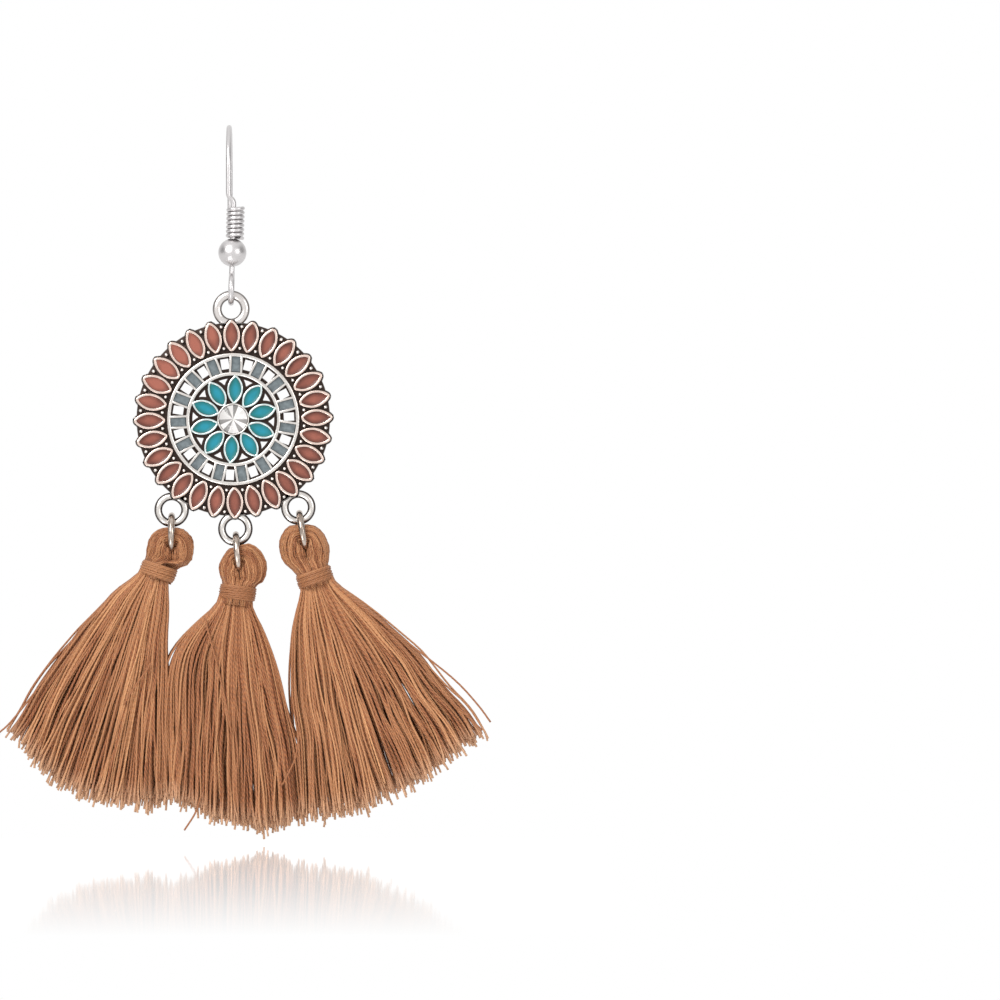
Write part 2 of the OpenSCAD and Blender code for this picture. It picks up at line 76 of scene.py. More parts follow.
def add_node(tree: bpy.types.NodeTree, kind: str, settings: dict | None = None,
             links: dict | None = None) -> bpy.types.Node:
    """Adds a shader node with its settings and links.

    Args:
        tree: The node tree.
        kind: The node's type, without the ShaderNode that each begins with.
        settings: Values by attribute, by input name or by input number; "stops" fills a colour ramp.
        links: What feeds each input, by its name or number: an output, or a node for its first output.

    Returns:
        The new node.
    """
    node = tree.nodes.new("ShaderNode" + kind)
    for key, value in (settings or {}).items():
        if key == "stops":
            ramp = node.color_ramp.elements
            ramp[0].position, ramp[0].color = value[0]
            ramp[1].position, ramp[1].color = value[-1]
            for place, shade in value[1:-1]:
                ramp.new(place).color = shade
        elif isinstance(key, str) and hasattr(node, key):
            setattr(node, key, value)
        else:
            node.inputs[key].default_value = value
    for key, source in (links or {}).items():
        tree.links.new(getattr(source, "outputs", [source])[0], node.inputs[key])
    return node


def grey(tone: float) -> Colour:
    """Returns a neutral colour in linear light."""
    return tone, tone, tone, 1.0


def new_material(name: str) -> tuple[bpy.types.Material, bpy.types.NodeTree]:
    """Starts a material.

    Args:
        name: The material's name.

    Returns:
        The material and its emptied node tree.
    """
    material = bpy.data.materials.new(name)
    material.use_nodes = True
    material.node_tree.nodes.clear()
    return material, material.node_tree


def edit() -> None:
    """Opens the active object in edit mode."""
    bpy.ops.object.mode_set(mode="EDIT")


def leave() -> None:
    """Goes back to object mode."""
    bpy.ops.object.mode_set(mode="OBJECT")


def pick_all() -> None:
    """Selects the whole mesh, in edit mode."""
    bpy.ops.mesh.select_all(action="SELECT")


def start(add: Callable, **settings: object) -> bpy.types.Object:
    """Deselects everything, adds a primitive and opens it in edit mode, all selected.

    Args:
        add: The operator that adds the primitive.
        settings: The primitive's size and place.

    Returns:
        The new object.
    """
    bpy.ops.object.select_all(action="DESELECT")
    add(**settings)
    bpy.ops.object.transform_apply(location=True, rotation=True, scale=True)
    edit()
    pick_all()
    return bpy.context.active_object


def start_point(place: Point) -> bpy.types.Object:
    """Starts a mesh from one vertex, selected in edit mode.

    Args:
        place: Where the vertex lies.

    Returns:
        The new object.
    """
    piece = start(bpy.ops.mesh.primitive_plane_add, size=0.1, location=place)
    bpy.ops.mesh.merge(type="CENTER")
    return piece


class Part(Enum):
    """What part of a mesh is chosen."""

    VERT = "verts"
    EDGE = "edges"
    FACE = "faces"


def choose(piece: bpy.types.Object, test: Callable, part: Part = Part.VERT) -> None:
    """Selects, in edit mode, the vertices, edges or faces that pass a test.

    Args:
        piece: The object in edit mode.
        test: Takes a vertex, edge or face and says whether it is selected.
        part: Which of them is tested.
    """
    bpy.ops.mesh.select_mode(type=part.name)
    bpy.ops.mesh.select_all(action="DESELECT")
    mesh = bmesh.from_edit_mesh(piece.data)
    for element in getattr(mesh, part.value):
        if test(element):
            element.select_set(True)
    mesh.select_flush_mode()
    bmesh.update_edit_mesh(piece.data)


def turn(centre: Point, axis: Point, degrees: float, steps: int) -> None:
    """Spins the selection round an axis, right-handed.

    Args:
        centre: A point on the axis.
        axis: The axis' direction.
        degrees: How far it turns.
        steps: In how many steps.
    """
    bpy.ops.mesh.spin(steps=steps, dupli=False, angle=-math.radians(degrees), center=centre, axis=axis)


def clockwise(degrees: float) -> Matrix:
    """Returns a turn round the bench's Z axis, clockwise as seen from above."""
    return Matrix.Rotation(-math.radians(degrees), 4, "Z")


def copy_round(count: int) -> None:
    """Copies the whole mesh round the bench's Z axis until there are count of it in all."""
    pick_all()
    bpy.ops.mesh.spin(steps=count - 1, dupli=True, angle=2 * math.pi * (count - 1) / count,
                      center=(0, 0, 0), axis=(0, 0, 1))


def draw_on(step: Point) -> None:
    """Extrudes the selection by a step."""
    bpy.ops.mesh.extrude_region_move(TRANSFORM_OT_translate={"value": tuple(step)})


def level(edge: bmesh.types.BMEdge) -> bool:
    """Says whether an edge lies level on the bench."""
    return abs(edge.verts[0].co.z - edge.verts[1].co.z) < MERGE


def weld() -> None:
    """Merges what lies in one place, over the whole mesh."""
    pick_all()
    bpy.ops.mesh.remove_doubles(threshold=MERGE)


def face_out() -> None:
    """Turns all faces outwards."""
    pick_all()
    bpy.ops.mesh.normals_make_consistent(inside=False)


def thicken(rise: float) -> None:
    """Extrudes the whole of a flat drawing along the bench's Z axis and turns the faces outwards.

    Args:
        rise: How far, in millimetres.
    """
    pick_all()
    draw_on((0, 0, rise))
    face_out()


def round_off(width: float) -> None:
    """Rounds the selected edges to a width."""
    bpy.ops.mesh.bevel(offset=width, segments=2, affect="EDGES")


def close_up(piece: bpy.types.Object, place: Matrix = Matrix(), smooth_below: float = 40) -> bpy.types.Object:
    """Leaves edit mode with doubles merged, holes capped and faces outwards, and lays the mesh.

    Args:
        piece: The object in edit mode.
        place: From the bench to the frame, in millimetres.
        smooth_below: Edges blunter than this angle are shaded smooth, in degrees.

    Returns:
        The finished object.
    """
    bpy.ops.mesh.select_mode(type="VERT")
    weld()
    bpy.ops.mesh.fill_holes(sides=0)
    bpy.ops.mesh.normals_make_consistent(inside=False)
    leave()
    piece.data.transform(place)
    bpy.ops.object.shade_smooth_by_angle(angle=math.radians(smooth_below))
    return piece


def cut_away(piece: bpy.types.Object, knife: bpy.types.Object) -> None:
    """Cuts a closed shape out of a piece, both in object mode, and removes the shape.

    Args:
        piece: What is cut; it is left active and alone selected.
        knife: The closed shape.
    """
    bpy.context.view_layer.objects.active = piece
    cut = piece.modifiers.new("cut", "BOOLEAN")
    cut.operation, cut.object, cut.solver = "DIFFERENCE", knife, "EXACT"
    bpy.ops.object.modifier_apply(modifier=cut.name)
    bpy.data.objects.remove(knife)
    bpy.ops.object.select_all(action="DESELECT")
    piece.select_set(True)


def join(pieces: Sequence[bpy.types.Object]) -> bpy.types.Object:
    """Joins pieces into the first of them.

    Args:
        pieces: The objects.

    Returns:
        The joined object, active.
    """
    bpy.ops.object.select_all(action="DESELECT")
    for piece in pieces:
        piece.select_set(True)
    bpy.context.view_layer.objects.active = pieces[0]
    bpy.ops.object.join()
    return pieces[0]


def hand_over(piece: bpy.types.Object, name: str, body: str,
              stands_for: Sequence[str] = ()) -> None:
    """Brings a piece to metres, gives it its name and body, and hides the CAD nodes it stands for.

    Args:
        piece: The finished piece, in millimetres of the frame.
        name: The piece's name.
        body: The body it moves with.
        stands_for: The CAD nodes it replaces.
    """
    piece.data.transform(TO_METRES)
    piece.name = piece.data.name = name
    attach(piece, body)
    if stands_for:
        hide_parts(*stands_for)
    LOG.info("%s: %d faces", name, len(piece.data.polygons))


# Finishes


@dataclass(frozen=True)
class PolishedSilverPlate:
    """Silver plate over brass wire, tumbled bright: it gives the hook soft streaks of light and grey."""

    silver: str = "#CFCCCC"
    roughness: float = 0.34

    def make(self) -> bpy.types.Material:
        """Makes the plate.

        Returns:
            The material.
        """
        material, tree = new_material("polished_silver_plate")
        shader = add_node(tree, "BsdfPrincipled", {"Base Color": linear(self.silver), "Metallic": 1.0,
                                                   "Roughness": self.roughness})
        add_node(tree, "OutputMaterial", links={0: shader})
        return material


@dataclass(frozen=True)
class AntiqueSilverCasting:
    """Zinc casting, silver plated, blackened and rubbed back.

    The rub takes the black from what stands high, so the relief shows bright lines with dark feet, and
    from most of the flat back. Rub depths are millimetres in front of the medallion's middle plane,
    those of the back behind it.
    """

    name: str
    bright: str = "#E2DDD8"
    black: str = "#3C322E"
    rubbed_from: float = 0.3
    rubbed_to: float = 0.56
    back_from: float = 0.46
    back_fade: float = 0.08
    back_rub: float = 0.75
    grain_mm: float = 0.35
    grain_rub: tuple[float, float] = (0.78, 1.08)
    grain_high_mm: float = 0.02
    roughness: float = 0.24
    black_roughness: float = 0.5

    def make(self, middle: Vector) -> bpy.types.Material:
        """Makes the casting's finish.

        Args:
            middle: The medallion's middle in the frame, in millimetres.

        Returns:
            The material.
        """
        material, tree = new_material(self.name)
        place = add_node(tree, "TexCoord").outputs["Object"]
        depth = add_node(tree, "SeparateXYZ", links={0: place}).outputs["Y"]
        grain = add_node(tree, "TexNoise", {"Scale": 1 / (self.grain_mm * MM), "Detail": 3.0},
                         {"Vector": place})
        rub = add_node(tree, "MapRange", {"interpolation_type": "SMOOTHSTEP",
                                          "From Min": (middle.y - self.rubbed_from) * MM,
                                          "From Max": (middle.y - self.rubbed_to) * MM}, {"Value": depth})
        back = add_node(tree, "MapRange", {"From Min": (middle.y + self.back_from) * MM,
                                           "From Max": (middle.y + self.back_from + self.back_fade) * MM,
                                           "To Max": self.back_rub}, {"Value": depth})
        high = add_node(tree, "Math", {"operation": "MAXIMUM"}, {0: rub, 1: back})
        least, most = self.grain_rub
        patchy = add_node(tree, "MapRange", {"To Min": least, "To Max": most}, {"Value": grain})
        worn = add_node(tree, "Math", {"operation": "MULTIPLY", "use_clamp": True}, {0: high, 1: patchy})
        colour = add_node(tree, "Mix", {"data_type": "RGBA", 6: linear(self.black), 7: linear(self.bright)},
                          {0: worn}).outputs[2]
        rough = add_node(tree, "MapRange", {"To Min": self.black_roughness, "To Max": self.roughness},
                         {"Value": worn})
        bump = add_node(tree, "Bump", {"Strength": 0.12, "Distance": self.grain_high_mm * MM},
                        {"Height": grain})
        shader = add_node(tree, "BsdfPrincipled", {"Metallic": 1.0},
                          {"Base Color": colour, "Roughness": rough, "Normal": bump})
        add_node(tree, "OutputMaterial", links={0: shader})
        return material


@dataclass(frozen=True)
class SoftEnamel:
    """Soft enamel: coloured resin filled a little below its rims and baked, so it looks wet and deep.

    The middle of a field is paler: partly its thinner resin, which the metal below lightens, and
    partly a painted highlight along the field. Towards one side of the medallion, at an angle over its
    left in radians, the enamel is paler still: a painted reflection of the soft box at the left.
    """

    name: str
    deep: str
    pale: str
    # Painted reflection of the soft box at the left: how much paler that side is made, its angle, and where
    # the paling starts as a share of the spread.
    paler_side: float = 0.0
    paler_at: float = 0.45
    paler_from: float = 0.7
    thin_share: float = 0.3
    cloud_mm: float = 1.6
    cloud_gain: float = 0.9
    cloud_base: float = -0.3

    def make(self, middle: Vector, spread: float) -> bpy.types.Material:
        """Makes the enamel.

        Args:
            middle: The medallion's middle in the frame, in millimetres.
            spread: Radius of the enamelled part, in millimetres.

        Returns:
            The material.
        """
        material, tree = new_material(self.name)
        place = add_node(tree, "TexCoord").outputs["Object"]
        cloud = add_node(tree, "TexNoise", {"Scale": 1 / (self.cloud_mm * MM), "Detail": 2.0},
                         {"Vector": place})
        # Painted reflection: paler towards the upper left, where the soft box would shine in the glaze.
        towards = Vector((-math.cos(self.paler_at), 0, math.sin(self.paler_at)))
        side = add_node(tree, "VectorMath", {"operation": "DOT_PRODUCT", 1: towards}, {0: place}).outputs[1]
        lit = add_node(tree, "MapRange", {"interpolation_type": "SMOOTHSTEP",
                                          "From Min": (towards.dot(middle) + self.paler_from * spread) * MM,
                                          "From Max": (towards.dot(middle) + spread) * MM,
                                          "To Max": self.paler_side}, {"Value": side})
        # Partly painted highlight: the "thin" mark pales each field's middle, for its thinner resin and as a
        # highlight along the field.
        mark = add_node(tree, "Attribute", {"attribute_name": "thin"}).outputs["Fac"]
        thin = add_node(tree, "Math", {"operation": "MULTIPLY", 1: self.thin_share}, {0: mark})
        cloudy = add_node(tree, "Math", {"operation": "MULTIPLY_ADD", 1: self.cloud_gain, 2: self.cloud_base},
                          {0: cloud})
        paler = add_node(tree, "Math", {"operation": "ADD"}, {0: lit, 1: thin})
        share = add_node(tree, "Math", {"operation": "ADD", "use_clamp": True}, {0: paler, 1: cloudy})
        colour = add_node(tree, "Mix", {"data_type": "RGBA", 6: linear(self.deep), 7: linear(self.pale)},
                          {0: share}).outputs[2]
        shader = add_node(tree, "BsdfPrincipled", {"Roughness": 0.3, "IOR": 1.42, "Coat Weight": 0.2,
                                                   "Coat Roughness": 0.06}, {"Base Color": colour})
        add_node(tree, "OutputMaterial", links={0: shader})
        return material


@dataclass(frozen=True)
class FoiledCrystal:
    """Pressed and polished crystal glass, its back coated with silver foil.

    Each facet of the foil would throw back another part of the room; the crisp wedges of white and
    grey this gives are painted reflections, a tone for each. The mesh's "foil" says how light each one is,
    and is 0 on the clear front.
    """

    tint: str = "#FBFCFC"
    # Tones of the painted reflections in the foil's facets.
    bright: str = "#F6F3F1"
    grey: str = "#5E5A57"
    ior: float = 1.5
    thin: float = 0.5
    no_foil: float = 0.01

    def make(self) -> bpy.types.Material:
        """Makes the foiled glass.

        Returns:
            The material.
        """
        material, tree = new_material("foiled_crystal")
        mark = add_node(tree, "Attribute", {"attribute_name": "foil"}).outputs["Fac"]
        back = add_node(tree, "Math", {"operation": "GREATER_THAN", 1: self.no_foil}, {0: mark})
        tone = add_node(tree, "Mix", {"data_type": "RGBA", 6: linear(self.grey), 7: linear(self.bright)},
                        {0: mark}).outputs[2]
        glass = add_node(tree, "BsdfPrincipled", {"Base Color": linear(self.tint), "Roughness": 0.0,
                                                  "IOR": self.ior, "Transmission Weight": 1.0})
        foil = add_node(tree, "BsdfPrincipled", {"Metallic": 0.15, "Roughness": 0.25}, {"Base Color": tone})
        clear = add_node(tree, "BsdfTransparent", {"Color": (1, 1, 1, 1)})
        front = add_node(tree, "MixShader", {0: self.thin}, {1: glass, 2: clear})
        mix = add_node(tree, "MixShader", links={0: back, 1: front, 2: foil})
        add_node(tree, "OutputMaterial", links={0: mix})
        return material


@dataclass(frozen=True)
class AgedPlate:
    """Nickel-plated steel wire, aged brown: it gives the jump rings a bright streak and brown flanks."""

    bright: str = "#C4B7AC"
    brown: str = "#6E5E52"
    bright_to: float = 0.42
    brown_from: float = 0.74
    stain_mm: float = 0.9

    def make(self) -> bpy.types.Material:
        """Makes the aged plate.

        Returns:
            The material.
        """
        material, tree = new_material("aged_plate")
        place = add_node(tree, "TexCoord").outputs["Object"]
        stain = add_node(tree, "TexNoise", {"Scale": 1 / (self.stain_mm * MM), "Detail": 3.0},
                         {"Vector": place})
        stops = [(self.bright_to, linear(self.bright)), (self.brown_from, linear(self.brown))]
        colour = add_node(tree, "ValToRGB", {"stops": stops}, {"Fac": stain})
        shader = add_node(tree, "BsdfPrincipled", {"Metallic": 1.0, "Roughness": 0.22},
                          {"Base Color": colour})
        add_node(tree, "OutputMaterial", links={0: shader})
        return material


@dataclass(frozen=True)
class TwistedCotton:
    """Mercerised cotton, two plies twisted: it gives each thread a slanting speckle and a soft lustre; the
    speckle's dark grooves are painted shade.

    The real twist repeats every 0.5 mm or so, near the finest the render can show, so it is drawn
    a little longer. The cut ends are a little paler: partly worn, partly painted light against the shade
    among the tips. The mesh brings its threads' UV map, in turns and millimetres, and marks how light
    and how rubbed they are, the rub carrying that paling of the ends.
    """

    name: str
    thread: str = "#A06138"
    groove: str = "#73401F"
    light: str = "#C68F61"
    # Colour of the pale thread ends: partly worn cut ends, partly painted light against the shade among the
    # tips.
    end: str = "#CFA583"
    twist_mm: float = 0.62
    plies: int = 2
    groove_mm: float = 0.05

    def make(self) -> bpy.types.Material:
        """Makes the cotton.

        Returns:
            The material.
        """
        material, tree = new_material(self.name)
        uv = add_node(tree, "UVMap", {"uv_map": "thread"})
        split = add_node(tree, "SeparateXYZ", links={0: uv}).outputs
        turns = add_node(tree, "Math", {"operation": "MULTIPLY", 1: self.plies}, {0: split["X"]})
        lay = add_node(tree, "Math", {"operation": "MULTIPLY_ADD", 1: 1 / self.twist_mm},
                       {0: split["Y"], 2: turns})
        angle = add_node(tree, "Math", {"operation": "MULTIPLY", 1: 2 * math.pi}, {0: lay})
        wave = add_node(tree, "Math", {"operation": "SINE"}, {0: angle})
        height = add_node(tree, "MapRange", {"From Min": -1.0}, {"Value": wave})
        tint = add_node(tree, "Attribute", {"attribute_name": "tint"}).outputs["Fac"]
        # Painted shade: the grooves between the plies are darkened towards the groove colour.
        shaded_ply = add_node(tree, "Mix", {"data_type": "RGBA", 6: linear(self.groove), 7: linear(self.thread)},
                       {0: height}).outputs[2]
        lit = add_node(tree, "Mix", {"data_type": "RGBA", 7: linear(self.light)},
                       {0: tint, 6: shaded_ply}).outputs[2]
        worn = add_node(tree, "Attribute", {"attribute_name": "worn"}).outputs["Fac"]
        colour = add_node(tree, "Mix", {"data_type": "RGBA", 7: linear(self.end)},
                          {0: worn, 6: lit}).outputs[2]
        bump = add_node(tree, "Bump", {"Strength": 0.7, "Distance": self.groove_mm * MM}, {"Height": height})
        shader = add_node(tree, "BsdfPrincipled",
                          {"Roughness": 0.6, "Sheen Weight": 0.08, "Sheen Roughness": 0.4},
                          {"Base Color": colour, "Normal": bump})
        add_node(tree, "OutputMaterial", links={0: shader})
        return material


# Ear hook


@dataclass
class EarHook:
    """The fish hook: one bent wire with its hanging loop, a bead and a coil.

    The tip gives pairs of a step along the wire, in its widths, and the share that it is thinned to.
    """

    wire: float = 0.58
    loop_wire: float = 0.62
    height: float = 20.0
    bend_r: float = 4.35
    yaw: float = 0.0
    tail: float = 4.0
    flick_r: float = 5.0
    flick: float = 25.0
    jog_r: float = 0.75
    line_x: float = 0.28
    lean: float = 1.5
    loop_r: float = 1.5
    seam_r: float = 0.45
    seam_open: float = 25.0
    bead: float = 3.1
    bead_gap: float = 0.68
    bore_gap: float = 0.03
    coil_wire: float = 0.44
    coil: float = 2.04
    turns: int = 7
    pitch: float = 0.47
    coil_slack: float = 0.8
    sides: int = 20
    loop_steps: int = 44
    bend_steps: int = 48
    small_steps: int = 8
    coil_sides: int = 10
    coil_steps: int = 28
    bead_sides: int = 48
    bead_rings: int = 32
    tip: Sequence[Point] = ((0.14, 0.95), (0.1, 0.82), (0.1, 0.66), (0.07, 0.5))

    def __post_init__(self) -> None:
        """Works out the places that follow from the sizes."""
        lean, yaw = math.radians(self.lean), math.radians(self.yaw)
        self.up = Vector((math.sin(lean), 0, math.cos(lean)))
        self.side = Vector((math.cos(lean), 0, -math.sin(lean)))
        self.behind = Vector((math.sin(yaw), math.cos(yaw), 0))
        self.bend_side = Vector((math.cos(yaw), -math.sin(yaw), 0))
        self.foot = Vector((self.line_x, -self.bend_r * math.cos(yaw),
                            self.wire - self.height + self.loop_wire / 2))
        self.coil_r = (self.coil - self.coil_wire) / 2
        self.bead_up = 2 * self.loop_r + self.loop_wire / 2 + self.bead_gap + self.bead / 2
        rest = self.bead / 2 + self.coil_wire / 2 + self.bore_gap
        self.coil_up = self.bead_up + math.sqrt(rest ** 2 - self.coil_r ** 2)
        self.stem_up = self.coil_up + self.turns * self.pitch + self.coil_wire
        self.on_stem = Matrix.Translation(self.foot) @ Matrix.Rotation(lean, 4, "Y")

    def build(self, plate: bpy.types.Material) -> None:
        """Builds and dresses wire, coil and bead.

        Args:
            plate: The silver plate.
        """
        for piece, name, node in ((self.bend_wire(), "hook_wire", "ear_hook"),
                                  (self.wind_coil(), "wound_coil", "hook_coil"),
                                  (self.drill_bead(), "round_bead", "hook_bead")):
            piece.data.materials.append(plate)
            hand_over(piece, name, "hook", [node])

    def bend_wire(self) -> bpy.types.Object:
        """Bends the wire from the cut end of the hanging loop to the tip of the tail.

        Returns:
            The wire.
        """
        seam = math.radians(self.seam_open)
        middle = self.foot + self.loop_r * self.up
        out = math.cos(seam) * self.up - math.sin(seam) * Vector((0, 1, 0))
        piece = start(bpy.ops.mesh.primitive_circle_add, vertices=self.sides, radius=self.loop_wire / 2,
                      fill_type="NOTHING", location=middle + self.loop_r * out,
                      rotation=self.side.cross(out).to_track_quat("Z", "Y").to_euler())
        reach = math.asin(self.seam_r / (self.loop_r + self.seam_r))
        turn(middle, self.side, 360 - self.seam_open - math.degrees(reach),
             self.loop_steps)
        neck = middle + (self.loop_r + self.seam_r) * (math.cos(reach) * self.up
                                                       + math.sin(reach) * Vector((0, 1, 0)))
        turn(neck, -self.side, 90 - math.degrees(reach), self.small_steps)
        self.thin(neck - Vector((0, self.seam_r, 0)), self.wire / self.loop_wire)
        start_up = self.loop_r + (self.loop_r + self.seam_r) * math.cos(reach)
        draw_on((self.stem_up - start_up) * self.up)
        self.jog()
        draw_on((0, 0, self.wire / 2 - self.bend_r - self.jog_z))
        turn((0, 0, self.wire / 2 - self.bend_r), -self.bend_side, 180, self.bend_steps)
        draw_on((0, 0, -self.tail))
        flick_middle = ((self.bend_r + self.flick_r) * self.behind
                        + Vector((0, 0, self.wire / 2 - self.bend_r - self.tail)))
        turn(flick_middle, self.bend_side, self.flick, 10)
        flick = math.radians(self.flick)
        way = math.sin(flick) * self.behind - Vector((0, 0, math.cos(flick)))
        end = flick_middle - self.flick_r * (math.cos(flick) * self.behind + Vector((0, 0, math.sin(flick))))
        for step, share in self.tip:
            draw_on(step * self.wire * way)
            end += step * self.wire * way
            self.thin(end, share)
        return close_up(piece)

    def jog(self) -> None:
        """Turns the wire through the two small bends above the coil."""
        lean = math.radians(self.lean)
        stem = self.foot + self.stem_up * self.up
        front = -self.bend_r * self.behind
        aside = math.acos((1 + math.cos(lean) - (stem.x - front.x) / self.jog_r) / 2)
        self.jog_z = stem.z + self.jog_r * (math.sin(lean) + 2 * math.sin(aside))
        turn(stem - self.jog_r * self.side, (0, -1, 0), self.lean + math.degrees(aside), self.small_steps)
        turn((front.x + self.jog_r, front.y, self.jog_z), (0, 1, 0), math.degrees(aside), self.small_steps)

    def thin(self, middle: Point, share: float) -> None:
        """Thins the wire at the selected ring to a share of what it was."""
        bpy.ops.transform.resize(value=(share, share, share), center_override=tuple(middle))

    def wind_coil(self) -> bpy.types.Object:
        """Winds the small coil.

        Returns:
            The coil.
        """
        piece = start(bpy.ops.mesh.primitive_circle_add, vertices=self.coil_sides, radius=self.coil_wire / 2,
                      fill_type="NOTHING", location=(self.coil_r, 0, 0), rotation=(math.pi / 2, 0, 0))
        leave()
        screw = piece.modifiers.new("winding", "SCREW")
        screw.screw_offset = self.pitch
        screw.iterations = self.turns
        screw.steps = screw.render_steps = self.coil_steps
        bpy.ops.object.modifier_apply(modifier=screw.name)
        edit()
        shift = (self.coil_r - self.coil_wire / 2 - self.wire / 2) * self.coil_slack
        return close_up(piece, self.on_stem @ Matrix.Translation((shift, 0, self.coil_up)), 60)

    def drill_bead(self) -> bpy.types.Object:
        """Turns the bead and drills it for the wire.

        Returns:
            The bead.
        """
        bead_r, bore_r = self.bead / 2, self.wire / 2 + self.bore_gap
        piece = start(bpy.ops.mesh.primitive_uv_sphere_add, segments=self.bead_sides,
                      ring_count=self.bead_rings, radius=bead_r)
        choose(piece, lambda v: v.co.xy.length < bore_r * 0.9)
        bpy.ops.mesh.delete(type="VERT")
        rim = math.sqrt(bead_r ** 2 - bore_r ** 2)
        choose(piece, lambda v: abs(v.co.z) > rim - 0.02)
        bpy.ops.mesh.bridge_edge_loops()
        return close_up(piece, self.on_stem @ Matrix.Translation((0, 0, self.bead_up)))


# Medallion


@dataclass(frozen=True)
class CastingFinishes:
    """The casting's finishes: alike, but each part is rubbed and tinted in its own way. The hanging rings'
    dark edges are partly patina and partly painted shade, and the rims' pink and cyan tints are painted
    reflections of the enamel beside them.
    """

    plate: bpy.types.Material
    lip: bpy.types.Material
    petal_rims: bpy.types.Material
    leaf_rims: bpy.types.Material
    upper_ring: bpy.types.Material
    lower_rings: bpy.types.Material


@dataclass(frozen=True)
class Oval:
    """A pointed oval of two equal arcs at the top of the medallion, its points inwards and outwards.

    Its length and width are those with sharp points, which are then rounded.
    """

    at: float
    length: float
    width: float
    tip_r: float

    @property
    def bow(self) -> float:
        """Radius of its two arcs."""
        return (self.length ** 2 + self.width ** 2) / (4 * self.width)

    @property
    def aside(self) -> float:
        """Distance from its axis to the middle of either arc."""
        return self.bow - self.width / 2

    def grown(self, border: float) -> "Oval":
        """Returns the oval with a border all round."""
        return Oval(self.at, self.length + 2 * border, self.width + 2 * border, self.tip_r + border)

    def rounded(self) -> tuple[float, float]:
        """Finds where its rounded tips take over from its arcs.

        Returns:
            The takeover's angle round the arc's own middle, in degrees, and the distance from the oval's
            middle to the middle of a rounded tip.
        """
        out = math.sqrt((self.bow - self.tip_r) ** 2 - self.aside ** 2)
        return math.degrees(math.atan2(out, self.aside)), out

    def crossing(self, radius: float) -> tuple[float, Vector]:
        """Finds where its right side crosses a circle round the medallion's middle.

        Args:
            radius: The circle's radius.

        Returns:
            The crossing's angle round the side's own middle, in degrees, and the crossing.
        """
        bow, aside, at = self.bow, self.aside, self.at
        share = (radius ** 2 - aside ** 2 - at ** 2 - bow ** 2) / (2 * bow * math.hypot(aside, at))
        angle = math.atan2(aside, at) + math.asin(share)
        return math.degrees(angle), Vector((bow * math.cos(angle) - aside, at + bow * math.sin(angle), 0))


@dataclass(frozen=True)
class Fields:
    """A round of like oval fields: how many, the angle of the first, and their rims' width."""

    oval: Oval
    count: int
    first: float
    rim: float


